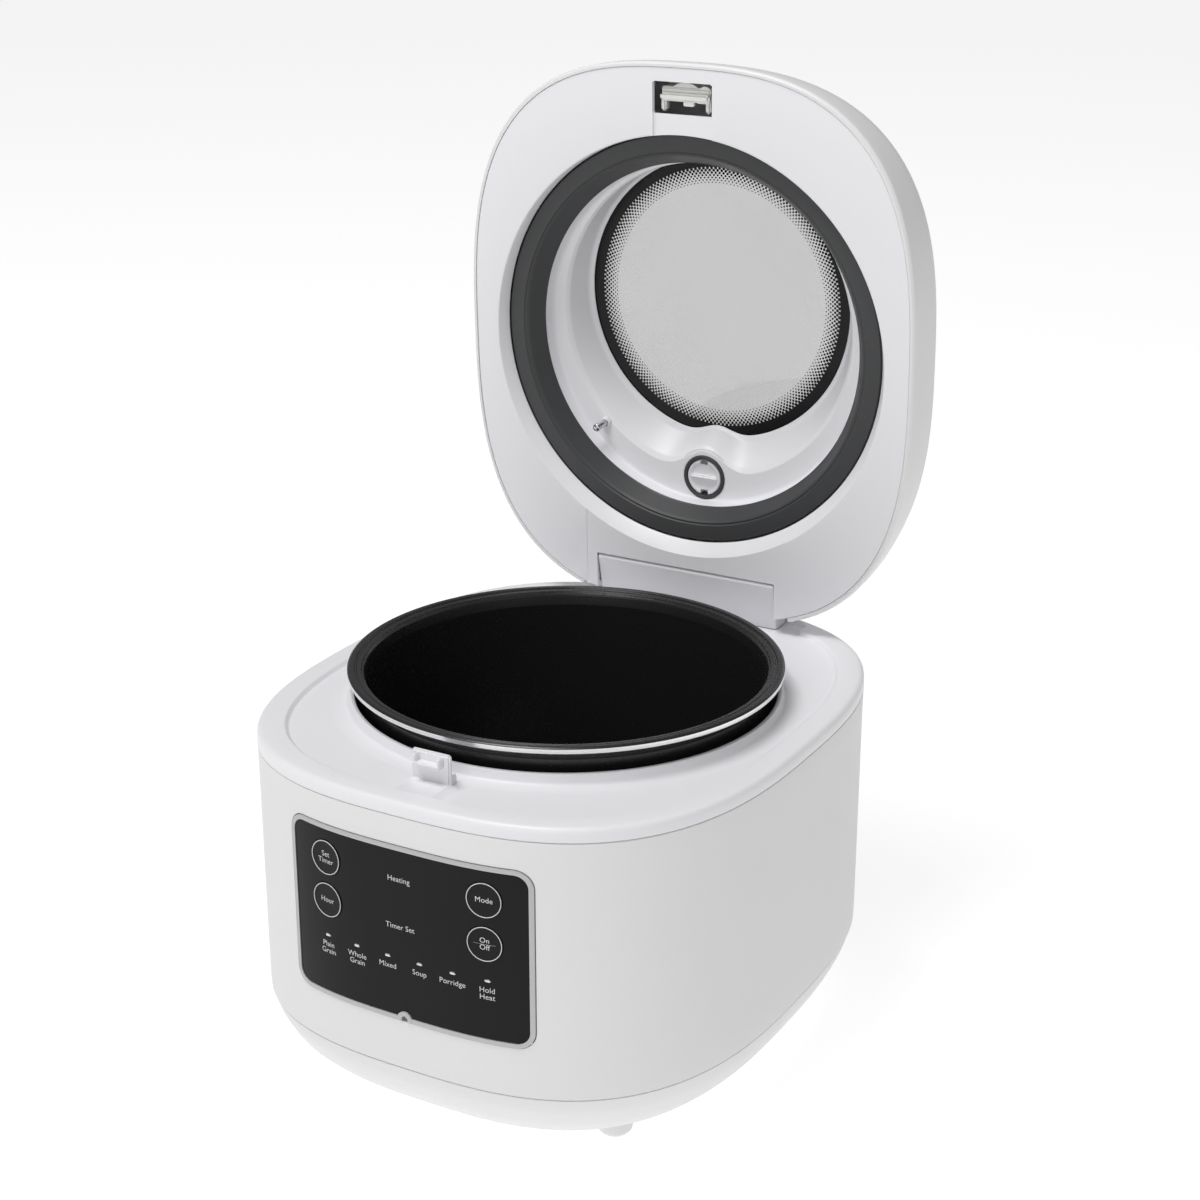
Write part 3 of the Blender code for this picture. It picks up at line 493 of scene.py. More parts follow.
def make_top_deck():
    under = DECK_FLOOR - 0.0024
    rings = [
        (body_ring(0.0, DECK_SEAM + 0.0002), 0.0005), (body_ring(0.0, DECK_TOP), 0.0036),
        (body_ring(0.0124, DECK_TOP), 0.0012), (body_ring(0.0140, DECK_FLOOR + 0.0002), 0.0014),
        (circle(0.1185, DECK_FLOOR), 0.0040), (circle(0.1104, DECK_FLOOR + 0.0008), 0.0022),
        (circle(0.1089, COLLAR_TOP), 0.0008), (circle(COLLAR_RADIUS, COLLAR_TOP - 0.0001), 0.0006),
        (circle(0.1062, 0.1500), 0), (circle(0.1084, 0.1500), 0), (circle(0.1092, under), 0),
        (body_ring(0.0152, under), 0), (body_ring(0.0062, DECK_TOP - 0.0026), 0),
        (body_ring(0.0052, 0.1690), 0), (body_ring(BODY_WALL + 0.0004, 0.1690), 0),
        (body_ring(BODY_WALL + 0.0004, DECK_SEAM - 0.0001), 0),
        (body_ring(0.0008, DECK_SEAM - 0.0001), 0), (body_ring(0.0007, DECK_SEAM + 0.0002), 0),
    ]
    deck = skin(softened(rings))
    # The catch: a tower with a tongue between two cheeks, on a raised land, with ribs behind it.
    front = CATCH_Y
    tower = box((-0.0105, front, under + 0.001), (0.0105, front + 0.0030, 0.1952), 0.0009, 4)
    tray = box((-0.0074, front - 0.0040, 0.1890), (0.0074, front + 0.0016, 0.1908), 0.0004, 3)
    cheeks = [
        sized(0.0008, (front - 0.0036, front + 0.0016), (0.1896, 0.1942), 0.0004, side * 0.0066)
        for side in (-1, 1)
    ]
    land_front, land_rear = -0.1452, front + 0.0020
    land = skin([
        [Vector((x, y, z)) for x, y in ((-w, land_front), (w, land_front), (w, land_rear), (-w, land_rear))]
        for w, z in ((0.0162, under + 0.001), (0.0100, DECK_TOP - 0.00006))
    ], hollow=False)
    ribs = [
        sized(0.0008, (front + 0.0024, front + 0.0085), (under + 0.001, 0.1834), 0.0003, side * 0.0080)
        for side in (-1, 1)
    ]
    deck = join(deck, tower, tray, *cheeks, land, *ribs)
    trough_ring = [
        Vector((max(-0.068, min(0.068, p.x)), max(0.1235, p.y), 0.0)) for p in body_ring(0.0050, 0.0)
    ]
    trough = skin(
        [[Vector((p.x, p.y, z)) for p in trough_ring] for z in (DECK_FLOOR - 0.0001, 0.2)], False
    )
    place("cooker_deck", cut(deck, trough), "housing", GLOSS, ["top_deck"])


def make_base_tray():
    floor = BASE_BOTTOM + 0.0026
    rings = [
        (body_ring(0.0620, BASE_BOTTOM + 0.0010), 0.004), (body_ring(0.0600, BASE_BOTTOM), 0.002),
        (body_ring(0.0215, BASE_BOTTOM), 0.0060), (body_ring(0.0160, 0.0148), 0.03),
        (body_ring(0.0085, 0.0225), 0.03), (body_ring(0.0032, 0.0330), 0.03),
        (body_ring(0.0006, BASE_SEAM - 0.0003), 0.0006), (body_ring(0.0016, BASE_SEAM - 0.0003), 0),
        (body_ring(0.0017, BASE_SEAM + 0.0002), 0), (body_ring(0.0034, BASE_SEAM + 0.0002), 0),
        (body_ring(0.0034, BASE_SEAM + 0.0040), 0), (body_ring(0.0050, BASE_SEAM + 0.0040), 0),
        (body_ring(0.0062, 0.0342), 0), (body_ring(0.0115, 0.0246), 0),
        (body_ring(0.0190, 0.0172), 0), (body_ring(0.0245, floor), 0),
    ]
    tray = skin(softened(rings, hollow=False), hollow=False)
    vents = [0.016 * (i - 3) for i in range(7)]
    slots = [box((x - 0.0026, -0.075, 0.005), (x + 0.0026, -0.035, 0.0175), 0.0010, 2) for x in vents]
    place("cooker_base", cut(tray, *slots), "housing", SATIN, ["base_tray"])


def make_feet():
    top = BASE_BOTTOM - 0.0003
    profile = [
        (0.0044, 0.0, 0.0004), (0.0062, 0.0, 0.0024), (0.0086, 0.0026, 0.0040), (0.0099, top, 0.0002),
        (0.0022, top, 0), (0.0022, 0.0050, 0), (0.0044, 0.0050, 0.0003),
    ]
    for node, x, y in FEET:
        place(f"moulded_{node}", turned(profile, y, x), "housing", SATIN, [node])


def make_panel():
    notch_z = PANEL_LOW + 0.0012
    middle = Vector((0, front_y(0), notch_z))

    def post(radius, start=0.004, end=0.012, at=middle, x=0.0):
        out = front_normal(x)
        return rod(at + out * start, at - out * end, radius, 64)

    bezel = cut(front_plate(0.0, 0.0003, 0.0039), front_plate(BEZEL_WIDTH, 0.003, 0.012))
    bezel = cut(join(bezel, post(0.0040, 0.0005, 0.0035)), post(0.0017, 0.003, 0.002))
    bezel = cut(bezel, box((-0.010, -0.170, PANEL_LOW - 0.01), (0.010, -0.140, PANEL_LOW)))
    bezel = bevelled(bezel, 0.00025)
    place("panel_surround", bezel, "housing", SILVER, ["control_bezel"])
    plate = front_plate(BEZEL_WIDTH + 0.0003, -PANEL_SUNK, 0.0030)
    holes = [post(0.0043)]
    for _, x, z in BUTTONS:
        holes.append(post(BUTTON_RADIUS + 0.0002, 0.006, 0.010, Vector((x, front_y(x), z)), x))
    for x in indicator_places():
        y = front_y(x)
        holes.append(box(
            (x - 0.0018, y - 0.005, INDICATOR_HEIGHT - 0.0009),
            (x + 0.0018, y + 0.006, INDICATOR_HEIGHT + 0.0009), 0.0006, 3,
        ))
    place("panel_face", cut(plate, *holes), "housing", BLACK, ["control_panel"])


def make_light_guide():
    bar_y = front_y(0.0) + 0.0076
    low, high = INDICATOR_HEIGHT - 0.0008, INDICATOR_HEIGHT + 0.0008
    guide = sized(0.0490, (bar_y, bar_y + 0.0020), (INDICATOR_HEIGHT - 0.0020, INDICATOR_HEIGHT + 0.0020))
    prongs = [
        box((x - 0.0017, front_y(x) + 0.0001, low), (x + 0.0017, bar_y + 0.0010, high), 0.0005)
        for x in indicator_places()
    ]
    guide = join(guide, *prongs)
    place("light_pipes", guide, "housing", LENS, ["indicator_light_guide"])


def lettering(words, size):
    """Flat letters in Blender's own font, centred on the origin."""
    curve = bpy.data.curves.new("words", "FONT")
    curve.body = words
    curve.size = size
    curve.align_x = curve.align_y = "CENTER"
    curve.space_line = 0.92
    curve.space_character = 1.02
    curve.resolution_u = 4
    holder = bpy.data.objects.new("words", curve)
    bpy.context.collection.objects.link(holder)
    bpy.context.view_layer.update()
    graph = bpy.context.evaluated_depsgraph_get()
    mesh = bpy.data.meshes.new_from_object(holder.evaluated_get(graph))
    bpy.data.objects.remove(holder, do_unlink=True)
    return mesh


def on_front(mesh, x, z, lift):
    """Wrap flat letters onto the panel, lift proud of its face."""
    for vertex in mesh.vertices:
        at = x + vertex.co.x
        vertex.co = (at, front_y(at) + PANEL_SUNK - lift, z + vertex.co.y)
    return mesh


def on_button(mesh, x, z, lift=0.00022):
    """Lay flat letters on a button's face, lift proud of it."""
    out = front_normal(x)
    across = Vector((-out.y, out.x, 0.0))
    middle = Vector((x, front_y(x) + PANEL_SUNK, z)) + out * lift
    for vertex in mesh.vertices:
        vertex.co = middle + across * vertex.co.x + Vector((0, 0, vertex.co.y))
    return mesh


def make_labels():
    size, lift = 0.0039, 0.00006
    words = [("Heating", -0.0012, 0.1417), ("Timer Set", -0.0012, 0.1172)]
    under = ["Plain\nGrain", "Whole\nGrain", "Mixed", "Soup", "Porridge", "Hold\nHeat"]
    words += [
        (text, x, 0.0958 if "\n" not in text else 0.0940)
        for text, x in zip(under, indicator_places())
    ]
    parts = [on_front(lettering(text, size), x, z, lift) for text, x, z in words]
    place("panel_print", merged(*parts), "housing", PRINT)


def make_buttons():
    words = {
        "button_upper_left": "Set\nTimer", "button_lower_left": "Hour",
        "button_upper_right": "Mode", "button_lower_right": "On\nOff",
    }
    for name, x, z in BUTTONS:
        out = front_normal(x)
        middle = Vector((x, front_y(x) + PANEL_SUNK, z))
        turn = Matrix.Translation(middle) @ out.to_track_quat("Z", "Y").to_matrix().to_4x4()
        cap = turned([
            (0.0022, -0.0090, 0.0002), (0.0022, -0.0032, 0), (0.0088, -0.0032, 0.0002),
            (0.0090, 0.0002, 0.0003), (0.0086, 0.0004, 0.0002), (0.0078, 0.0002, 0.0006),
            (0.0010, 0.0001, 0),
        ], hollow=False)
        ring = turned([
            (0.0083, 0.0002, 0), (0.0083, 0.00052, 0.0001),
            (0.0087, 0.00052, 0.0001), (0.0087, 0.0002, 0),
        ])
        cap.transform(turn)
        ring.transform(turn)
        place(f"{name}_cap", cap, name, BUTTON_BLACK, [name])
        letters = on_button(lettering(words[name], 0.0038), x, z)
        if name == "button_lower_right":
            rule = on_button(box((-0.0056, -0.00016, 0), (0.0056, 0.00002, 0.00001)), x, z)
            letters = merged(letters, rule)
        place(f"{name}_print", merged(letters, ring), name, PRINT)


def make_hinge_block():
    y, z = HINGE_Y, HINGE_Z
    foot = DECK_FLOOR + 0.0002
    outline = [(y - 0.0052, foot), (y - 0.0110, z + 0.0112), (y - 0.0102, z + 0.0124)]
    outline += [
        (y + 0.0148 * math.cos(math.radians(a)), z + 0.0146 * math.sin(math.radians(a)))
        for a in range(120, 37, -4)
    ]
    outline += [(y + 0.0125, z - 0.0110), (y + 0.0074, z - 0.0122), (y + 0.0074, foot)]
    block = bevelled(prism(outline, BLOCK_HALF_X), 0.0007, 3)
    spring_from, spring_to = 0.0180, 0.0460
    pocket = rod((spring_from, y, z), (spring_to, y, z), 0.0066)
    slot = box((spring_from, y - 0.0030, foot - 0.004), (spring_to, y + 0.0056, z))
    bore = rod((-0.060, y, z), (0.060, y, z), PIN_RADIUS + 0.0003)
    block = cut(block, bore, pocket, slot)
    place("hinge_cover", block, "housing", GLOSS, ["hinge_block"])


def make_inlet():
    low, high = 0.0570, 0.0820
    rear = OUTLINE_Y + BODY_HALF_Y
    block = sized(0.0150, (rear - 0.0230, rear + 0.0012), (low, high))
    flange = sized(0.0190, (rear + 0.0003, rear + 0.0018), (low - 0.0030, high + 0.0030), 0.0006)
    cavity = sized(0.0125, (rear - 0.0170, rear + 0.0060), (low + 0.0030, high - 0.0030), 0.0008)
    block = cut(join(block, flange), cavity)
    place("inlet_socket", bevelled(block, 0.0004), "housing", DARK, ["power_inlet"])
    pins = [
        sized(0.0010, (rear - 0.0180, rear - 0.0030), (0.0675, 0.0715), 0.0004, x)
        for x in (-0.0055, 0.0055)
    ]
    place("inlet_pins", merged(*pins), "housing", STEEL)


# ---- pot ----------------------------------------------------------------------------------
def make_pot():
    low = POT_BOTTOM
    profile = [
        (0.0010, low, 0), (0.0760, low, 0.008), (0.0900, low + 0.0024, 0.02),
        (0.0965, low + 0.0085, 0.02), (0.0995, low + 0.0180, 0.05),
        (0.1030, 0.1890, 0.002), (0.1042, 0.1936, 0.0012),
        (0.1084, 0.1938, 0.0006), (0.1100, 0.1950, 0.0005), (0.1100, 0.1974, 0.0005),
        (0.1090, 0.1980, 0.0008), (0.1066, 0.1979, 0.0004), (0.1062, 0.1969, 0.0003),
        (0.1055, 0.1969, 0.0003), (0.1050, 0.1973, 0.0004), (0.1030, 0.1970, 0.0004),
        (0.1026, 0.1960, 0.0003), (0.1019, 0.1959, 0.0003), (0.1014, 0.1950, 0.0008),
        (0.1004, 0.1900, 0.004), (0.0972, low + 0.0180, 0.03), (0.0942, low + 0.0100, 0.02),
        (0.0884, low + 0.0050, 0.02), (0.0755, low + 0.0028, 0.01), (0.0010, low + 0.0028, 0),
    ]
    steps = 4
    per_corner = steps + 1
    rings = softened([(circle(r, z), soft) for r, z, soft in profile], steps, False)
    # The bare metal line lies between the seventh rounded corner and the ninth.
    bare = set(range(7 * per_corner, 8 * per_corner + 1))
    place("pot", skin(rings, False, bare), "pot", [COATING, BARE], ["inner_pot"])


# ---- lid ----------------------------------------------------------------------------------
def hinge_notch(reach, half_x, low=LID_PLANE - 0.004):
    """The space that the hinge block needs as the lid turns round it."""
    outline = [(HINGE_Y - 0.0133, low)]
    for step in range(19):
        angle = math.radians(220 - step * 7.5)
        height = max(low + 0.0001 * step, HINGE_Z + reach * math.sin(angle))
        outline.append((HINGE_Y + reach * math.cos(angle), height))
    outline += [(HINGE_Y + 0.0300, HINGE_Z + reach), (HINGE_Y + 0.0300, low)]
    return prism(outline, half_x)


def make_lid_panel():
    plane = LID_PLANE
    face = plane + 0.0003
    rings = [
        (lid_ring(LID_SEAM - 0.0002, LID_RIM), 0), (lid_ring(LID_SEAM - 0.0002, 0.0012), 0),
        (lid_ring(LID_SEAM, 0.0011), 0), (lid_ring(LID_SEAM, 0.0003), 0.0004),
        (circle(0.1144, face, 0.0038), 0.0010), (circle(0.1108, plane + 0.0068), 0.0012),
        (circle(0.1124, plane + 0.0090), 0), (circle(0.1160, plane + 0.0026, 0.0038), 0),
        (lid_ring(LID_SEAM + 0.0024, 0.0029), 0), (lid_ring(LID_SEAM + 0.0024, LID_RIM), 0),
    ]
    panel = skin(softened(rings))
    tools = [sized(0.0600, (HINGE_Y - 0.0190, HINGE_Y - 0.0120), (plane + 0.0010, plane + 0.0066))]
    for side in (-1, 1):
        x = side * EAR_X
        web_y, web_z = (HINGE_Y - 0.0170, HINGE_Y + 0.0010), (plane + 0.0012, HINGE_Z)
        tools.append(sized(0.0030, web_y, web_z, 0.0003, x))
        tools.append(rod((x - 0.0034, HINGE_Y, HINGE_Z), (x + 0.0034, HINGE_Y, HINGE_Z), 0.0070))
    panel = join(panel, *tools)
    panel = cut(
        panel,
        box((-0.0170, -0.1375, plane - 0.004), (0.0170, -0.1210, plane + 0.008), 0.0006, 3),
        box((-0.0170, -0.1240, plane - 0.004), (0.0170, -0.1060, plane + 0.0016)),
        sized(0.0607, (0.0990, 0.1700), (plane - 0.004, face + 0.00025)),
        rod((-0.0700, HINGE_Y, HINGE_Z), (0.0700, HINGE_Y, HINGE_Z), PIN_RADIUS + 0.0003),
        hinge_notch(BLOCK_REACH, BLOCK_HALF_X + 0.0006),
    )
    place("lid_underside", panel, "lid", GLOSS, ["lid_inner_panel"], lid=True)


def make_lid_shell():
    steps = [
        (0.0014, 0.0, 0.0, 0.0), (0.0080, 0.0002, 0.0004, 0.0004), (0.0160, 0.0003, 0.0018, 0.0016),
        (0.0240, 0.0006, 0.0036, 0.0050), (0.0320, 0.0012, 0.0064, 0.0094),
        (0.0400, 0.0042, 0.0110, 0.0160), (0.0460, 0.0150, 0.0200, 0.0240),
        (0.0490, 0.0290, 0.0320, 0.0340),
    ]
    wall, top = 0.0024, LID_TOP
    outer = [(lid_section(0.0, 0.0012, 0.0012, 0.0012), 0)]
    outer += [(lid_section(*step), 0.08) for step in steps]
    outer += [(circle(0.0860, top, WINDOW_Y), 0.004), (circle(0.0830, top, WINDOW_Y), 0)]
    inner = [(lid_section(h - 0.0020, s, f, r, wall), 0.08) for h, s, f, r in steps]
    inner.append((circle(0.0860, top - 0.0030, WINDOW_Y), 0))
    shell = skin(softened(outer, 5, False), False)
    cavity = skin(softened(inner, 2, False), False)
    half_x = EAR_X + 0.0046
    cavity = cut(cavity, hinge_notch(BLOCK_REACH + 0.0026, half_x + 0.0022, LID_PLANE + 0.0074))
    z = RELEASE_HEIGHT
    shell = cut(
        shell, cavity, hinge_notch(BLOCK_REACH + 0.0004, half_x),
        box((-0.0164, -0.1600, z - 0.0058), (0.0164, -0.1350, z + 0.0058), 0.0012),
        rod((0, CAP_Y, 0.2200), (0, CAP_Y, 0.2400), 0.0150, 72),
        rod((0, WINDOW_Y, top - 0.0026), (0, WINDOW_Y, top + 0.0040), 0.0820, RING),
        rod((0, WINDOW_Y, top - 0.0080), (0, WINDOW_Y, top + 0.0040), 0.0785, RING),
    )
    place("lid_dome", shell, "lid", SATIN, ["lid_outer_shell"], lid=True)


def swollen(ring, depth, width):
    """Push the rear of a section forward round the steam valve."""
    return [
        Vector((p.x, p.y - depth * math.exp(-(p.x / width) ** 2), p.z)) if p.y > 0 else p for p in ring
    ]


def make_lid_liner():
    y, ledge = WINDOW_Y, -0.0064
    rings = [
        (circle(0.0940, 0.2004), 0.0006), (circle(0.0934, 0.2078), 0.0024),
        (swollen(circle(0.0862, 0.2083, ledge), 0.0144, 0.0159), 0.0007),
        (swollen(circle(0.0844, 0.2104, -0.0076), 0.0138, 0.0152), 0.0040),
        (swollen(circle(0.0794, 0.2232, -0.0146), 0.0078, 0.0128), 0.0060),
        (swollen(circle(0.0762, 0.2256, y), 0.0056, 0.0112), 0.0010),
        (circle(0.0812, 0.2258, y), 0), (circle(0.0812, 0.2286, y), 0),
        (circle(0.0838, 0.2286, y), 0), (circle(0.0838, 0.2240, y), 0),
        (swollen(circle(0.0884, 0.2107, ledge), 0.0120, 0.0160), 0),
        (circle(0.0962, 0.2096), 0), (circle(0.0966, 0.2026), 0), (circle(0.1085, 0.2026), 0),
        (circle(0.1085, 0.2008), 0), (circle(0.0960, 0.2004), 0),
    ]
    liner = skin(softened(rings, 6))
    nub = rod((PROBE_X, PROBE_Y, 0.2087), (PROBE_X, PROBE_Y, 0.2062), 0.0034, 48, 0.0027)
    boss = rod((0, VALVE_Y, 0.2086), (0, VALVE_Y, 0.2200), 0.0160, 72)
    liner = join(liner, boss, bevelled(nub, 0.0005, 3))
    liner = cut(
        liner, rod((0, VALVE_Y, 0.2000), (0, VALVE_Y, 0.2170), 0.0126, 72),
        rod((0, VALVE_Y, 0.2160), (0, VALVE_Y, 0.2230), 0.0050),
        rod((PROBE_X, PROBE_Y, 0.2040), (PROBE_X, PROBE_Y, 0.2140), 0.0020),
    )
    place("lid_dish", liner, "lid", GLOSS, ["lid_liner"], lid=True)
    probe = turned([
        (0.0004, 0.2120, 0), (0.0018, 0.2120, 0.0002), (0.0018, 0.1992, 0.0002),
        (0.0015, 0.1990, 0.0002), (0.0015, 0.1984, 0.0003), (0.0023, 0.1975, 0.0006),
        (0.0021, 0.1962, 0.0008), (0.0004, 0.1955, 0.0004),
    ], PROBE_Y, PROBE_X, 32, False)
    place("probe_pin", probe, "lid", STEEL, ["lid_probe"], lid=True)


def make_gasket():
    plane = LID_PLANE
    rings = [
        (circle(0.1104, plane + 0.0076), 0.0003), (circle(0.1097, plane + 0.0065), 0.0005),
        (circle(0.1016, plane + 0.0062), 0.0004), (circle(0.1009, plane + 0.0070), 0.0003),
        (circle(0.1001, plane + 0.0066), 0.0005), (circle(0.0990, plane + 0.0078), 0.0008),
        (circle(0.0944, plane + 0.0164), 0.0010), (circle(0.0936, plane + 0.0172), 0.0005),
        (circle(0.0958, plane + 0.0176), 0.0003), (circle(0.1022, plane + 0.0094), 0),
        (circle(0.1104, plane + 0.0090), 0),
    ]
    seal = skin(softened(rings))
    piece = place("lid_seal", seal, "lid", RUBBER, ["lid_gasket"], lid=True)
    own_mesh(piece)


def make_windows():
    y, top = WINDOW_Y, LID_TOP
    inner = [
        (0.0010, 0.2261, 0), (0.0808, 0.2261, 0.0004), (0.0808, 0.2285, 0.0004), (0.0010, 0.2285, 0),
    ]
    place("inner_pane", turned(inner, y, count=RING, hollow=False), "lid", GLASS,
          ["window_glass_inner"], lid=True)
    outer = [
        (0.0010, top - 0.0021, 0), (0.0816, top - 0.0021, 0.0003), (0.0816, top - 0.0004, 0.0005),
        (0.0780, top + 0.0002, 0.01), (0.0400, top + 0.0007, 0.02), (0.0010, top + 0.0008, 0),
    ]
    place("outer_pane", turned(outer, y, count=RING, hollow=False), "lid", GLASS,
          ["window_glass_outer"], lid=True)
    border = turned([
        (0.0712, 0.22598, 0), (0.0805, 0.22598, 0), (0.0805, 0.22604, 0), (0.0712, 0.22604, 0),
    ], y, count=RING, steps=1)
    outside = turned([
        (0.0745, top - 0.00222, 0), (0.0812, top - 0.00222, 0), (0.0812, top - 0.00216, 0),
        (0.0745, top - 0.00216, 0),
    ], y, count=RING, steps=1)
    printed = merged(border, outside, window_dots())
    place("window_border", printed, "lid", BLACK_PRINT, lid=True)


def window_dots():
    """The printed dots that fade the window's black border out."""
    bm = bmesh.new()
    count, rows, height = 184, 7, 0.22602
    widest, row_pitch = 0.0707, 0.00128
    largest, shrink = 0.00090, 0.00009
    for row in range(rows):
        radius = widest - row_pitch * row
        size = largest - shrink * row
        for i in range(count):
            angle = 2 * math.pi * (i + 0.5 * (row % 2)) / count
            x, y = radius * math.cos(angle), WINDOW_Y + radius * math.sin(angle)
            edge = [(x + size * math.cos(a), y + size * math.sin(a), height) for a in angles(10)]
            bm.faces.new([bm.verts.new(p) for p in edge])
    mesh = bpy.data.meshes.new("dots")
    bm.to_mesh(mesh)
    bm.free()
    return mesh


def make_valve():
    y = VALVE_Y
    seal = turned([
        (0.0104, 0.2072, 0.0006), (0.0123, 0.2072, 0.0007), (0.0123, 0.2166, 0), (0.0104, 0.2166, 0),
    ], y)
    place("valve_ring", seal, "lid", RUBBER, ["valve_seal"], lid=True)
    disc = turned([
        (0.0010, 0.2160, 0), (0.0100, 0.2160, 0.0004), (0.0100, 0.2078, 0.0007),
        (0.0088, 0.2077, 0.0005), (0.0070, 0.2086, 0.0010), (0.0010, 0.2088, 0),
    ], y, hollow=False)
    grip = sized(0.0082, (y - 0.0010, y + 0.0010), (0.2066, 0.2100), 0.0007)
    disc = join(disc, grip)
    notches = [
        sized(0.0024, (y + side * 0.0092 - 0.0020, y + side * 0.0092 + 0.0020), (0.2, 0.2130), 0.0003)
        for side in (-1, 1)
    ]
    place("valve_disc", cut(disc, *notches), "valve", GLOSS, ["steam_valve"], lid=True)


def make_steam_cap():
    y = CAP_Y
    cap = turned([
        (0.0010, 0.2305, 0), (0.0128, 0.2305, 0.0004), (0.0128, 0.2245, 0),
        (0.0146, 0.2245, 0), (0.0146, 0.2322, 0.0010), (0.0112, 0.2324, 0.0006),
        (0.0104, 0.2318, 0.0004), (0.0010, 0.2318, 0),
    ], y, hollow=False)
    slots = [
        box((0.0050 * i - 0.0009, y - 0.0070 + 0.0012 * abs(i), 0.2290),
            (0.0050 * i + 0.0009, y + 0.0070 - 0.0012 * abs(i), 0.2340), 0.0006)
        for i in (-1, 0, 1)
    ]
    place("vent_cap", cut(cap, *slots), "cap", SATIN, ["steam_cap"], lid=True)


def arch(x_low, x_high, y, rise, z_low, z_high):
    """A flat half-round rib seen through the latch window."""
    middle, half = (x_low + x_high) / 2, (x_high - x_low) / 2
    turns = [math.pi * i / 24 for i in range(25)]
    outline = [(middle - half * math.cos(a), y - rise * math.sin(a)) for a in turns]
    return skin([[Vector((x, at, z)) for x, at in outline] for z in (z_low, z_high)], hollow=False)


def make_latch():
    y, z = LATCH_Y, LATCH_Z
    hub = rod((-0.0140, y, z), (0.0140, y, z), 0.0030)
    arm = box((-0.0138, y - 0.0014, 0.1880), (0.0138, y + 0.0010, z), 0.0004)
    bar = box((-0.0142, y + 0.0014, 0.1850), (0.0142, y + 0.0057, 0.1884), 0.0012, 4)
    web = box((-0.0138, y - 0.0008, 0.1872), (0.0138, y + 0.0040, 0.1892), 0.0006)
    tooth = box((-0.0008, y + 0.0050, 0.1858), (0.0052, y + 0.0079, 0.1880), 0.0004)
    legs = [
        box((x_low, y + 0.0020, 0.1868), (x_high, y + 0.0112, 0.1916), 0.0009, 3)
        for x_low, x_high in ((-0.0142, -0.0112), (0.0112, 0.0142))
    ]
    shoulder = box((0.0064, y + 0.0030, 0.1864), (0.0140, y + 0.0062, 0.1884), 0.0005)
    ribs = [
        arch(-0.0085, 0.0072, y + 0.0010, 0.0046, 0.1884, 0.1900),
        arch(0.0072, 0.0142, y + 0.0010, 0.0034, 0.1878, 0.1896),
    ]
    lever = box((-0.0060, y - 0.0012, z), (0.0060, y + 0.0012, RELEASE_HEIGHT + 0.0050), 0.0004)
    mesh = join(hub, arm, lever, bar, web, tooth, shoulder, *legs, *ribs)
    mesh = cut(mesh, rod((-0.0200, y, z), (0.0200, y, z), 0.0017))
    place("latch_hook", mesh, "latch", LATCH_WHITE, ["lid_latch"], lid=True)


def make_release():
    z = RELEASE_HEIGHT
    face = OUTLINE_Y - LID_HALF_Y
    low, high = face + 0.0016, face + 0.0044
    rear = high + 0.0022
    side = [(low, z - 0.0054), (high, z + 0.0054), (rear, z + 0.0054), (rear, z - 0.0054)]
    cap = bevelled(prism(side, 0.0160), 0.0007, 3)
    stem = sized(0.0050, (rear - 0.0010, LATCH_Y - 0.0018), (z + 0.0022, z + 0.0040), 0.0003)
    place("release_key", join(cap, stem), "release", SATIN, ["release_button"], lid=True)


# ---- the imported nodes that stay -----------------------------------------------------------
KEPT = {node.replace("foot", "foot_screw"): STEEL for node, _, _ in FEET}
KEPT |= {
    "control_board": BOARD, "display_module": DARK, "power_board": BOARD, "power_relay": DARK,
    "transformer": DARK, "heat_shield": STEEL, "heater_plate": CAST, "thermal_fuse": STEEL,
    "hinge_pin": STEEL, "hinge_spring": STEEL, "bottom_sensor": CAST, "sensor_spring": STEEL,
    "steam_duct": SATIN, "latch_pin": STEEL, "latch_spring": STEEL,
}


def repaint_kept():
    """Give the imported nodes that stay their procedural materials."""
    for name, made in KEPT.items():
        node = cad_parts[name]
        for slot in node.material_slots:
            slot.material = made


# ---- stage --------------------------------------------------------------------------------
def area_light(name, at, target, size, power):
    data = bpy.data.lights.new(name, "AREA")
    data.shape = "RECTANGLE"
    data.size, data.size_y = size
    data.energy = power
    lamp = bpy.data.objects.new(name, data)
    bpy.context.collection.objects.link(lamp)
    lamp.location = at
    lamp.rotation_euler = (Vector(target) - Vector(at)).to_track_quat("-Z", "Y").to_euler()


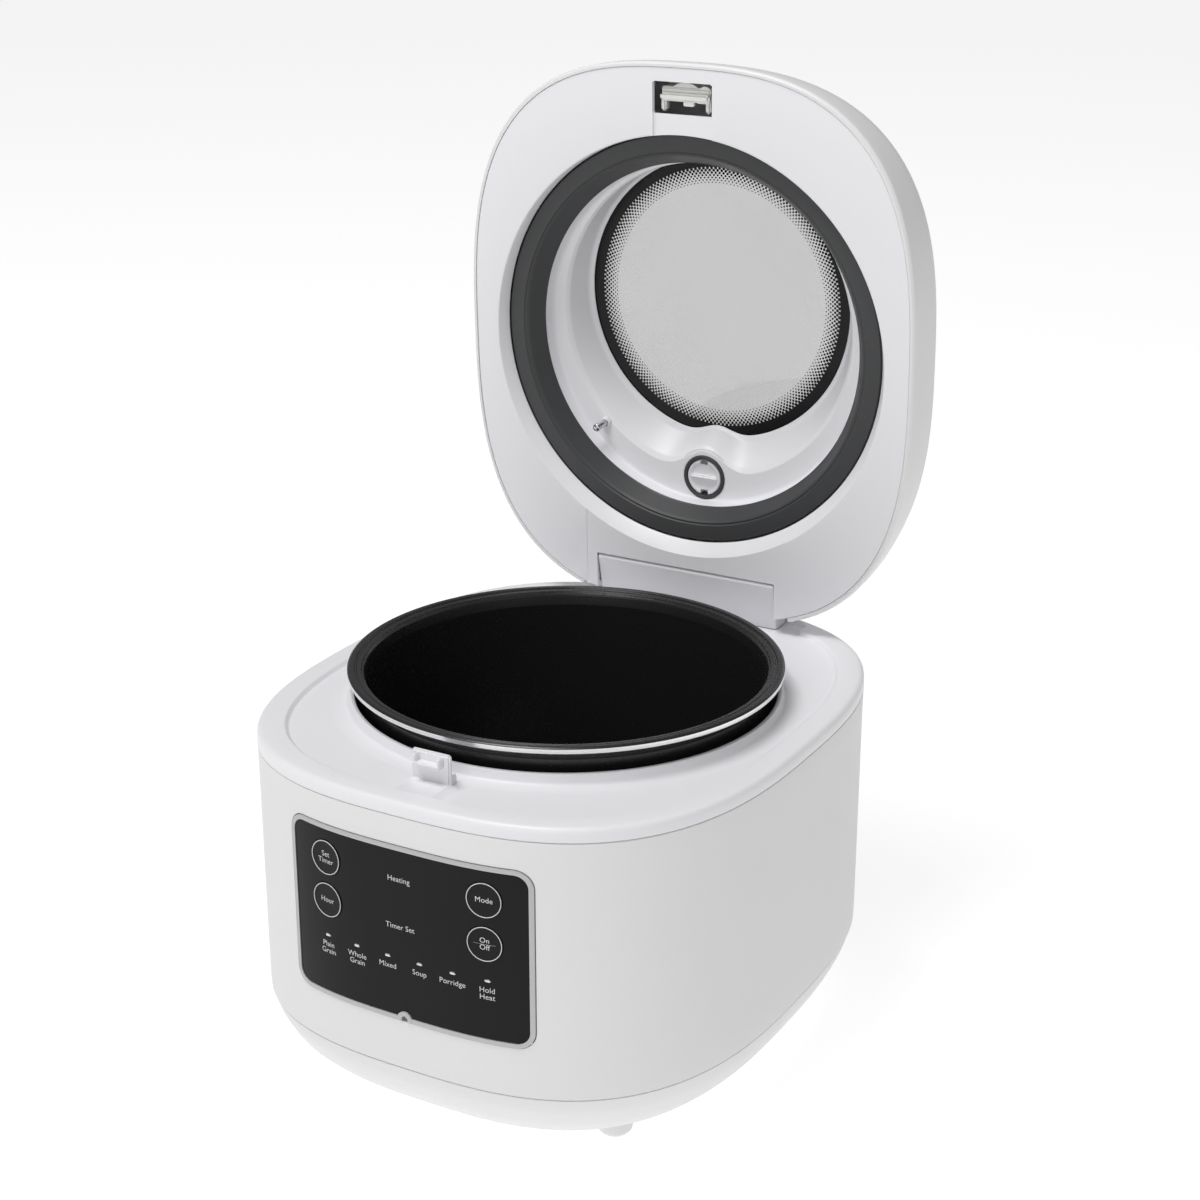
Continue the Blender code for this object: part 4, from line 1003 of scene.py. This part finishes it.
def make_stage():
    bm = bmesh.new()
    bmesh.ops.create_grid(bm, x_segments=1, y_segments=1, size=20.0)
    mesh = bpy.data.meshes.new("floor")
    bm.to_mesh(mesh)
    bm.free()
    made, nodes, links, bsdf = node_material("pale_floor")
    shade = mixed(nodes, links, noise(nodes, links, 3.0), (0.35, 0.35, 0.35), (0.36, 0.36, 0.36))
    links.new(shade, bsdf.inputs["Base Color"])
    bsdf.inputs["Roughness"].default_value = 0.9
    bsdf.inputs["Specular IOR Level"].default_value = 0.0
    bsdf.inputs["Emission Color"].default_value = (1, 1, 1, 1)
    bsdf.inputs["Emission Strength"].default_value = 0.80
    mesh.materials.append(made)
    floor = bpy.data.objects.new("floor", mesh)
    bpy.context.collection.objects.link(floor)
    world = bpy.data.worlds.new("studio")
    bpy.context.scene.world = world
    world.use_nodes = True
    sky = world.node_tree.nodes["Background"]
    sky.inputs["Color"].default_value = (1.0, 1.0, 1.0, 1.0)
    sky.inputs["Strength"].default_value = 0.24
    area_light("key", (-0.5, -0.8, 3.1), (0, 0, 0.2), (1.4, 1.4), 61.0)
    area_light("front", (0.3, -2.6, 1.4), (0, 0, 0.3), (1.6, 1.0), 10.0)
    area_light("side", (2.3, -1.2, 1.2), (0, 0, 0.2), (1.2, 1.2), 2.0)
    bpy.context.scene.view_settings.view_transform = "Standard"


def make_camera():
    data = bpy.data.cameras.new("camera")
    data.lens = CAMERA_LENS
    data.sensor_width = 36.0
    camera = bpy.data.objects.new("camera", data)
    bpy.context.collection.objects.link(camera)
    camera.location = CAMERA_PLACE
    camera.rotation_euler = Vector(CAMERA_AIM).to_track_quat("-Z", "Y").to_euler()
    bpy.context.scene.camera = camera


def build():
    make_camera()
    make_body_shell()
    make_top_deck()
    make_base_tray()
    make_feet()
    make_panel()
    make_light_guide()
    make_labels()
    make_buttons()
    make_hinge_block()
    make_inlet()
    make_pot()
    make_lid_panel()
    make_lid_shell()
    make_lid_liner()
    make_gasket()
    make_windows()
    make_valve()
    make_steam_cap()
    make_latch()
    make_release()
    repaint_kept()
    make_stage()


build()
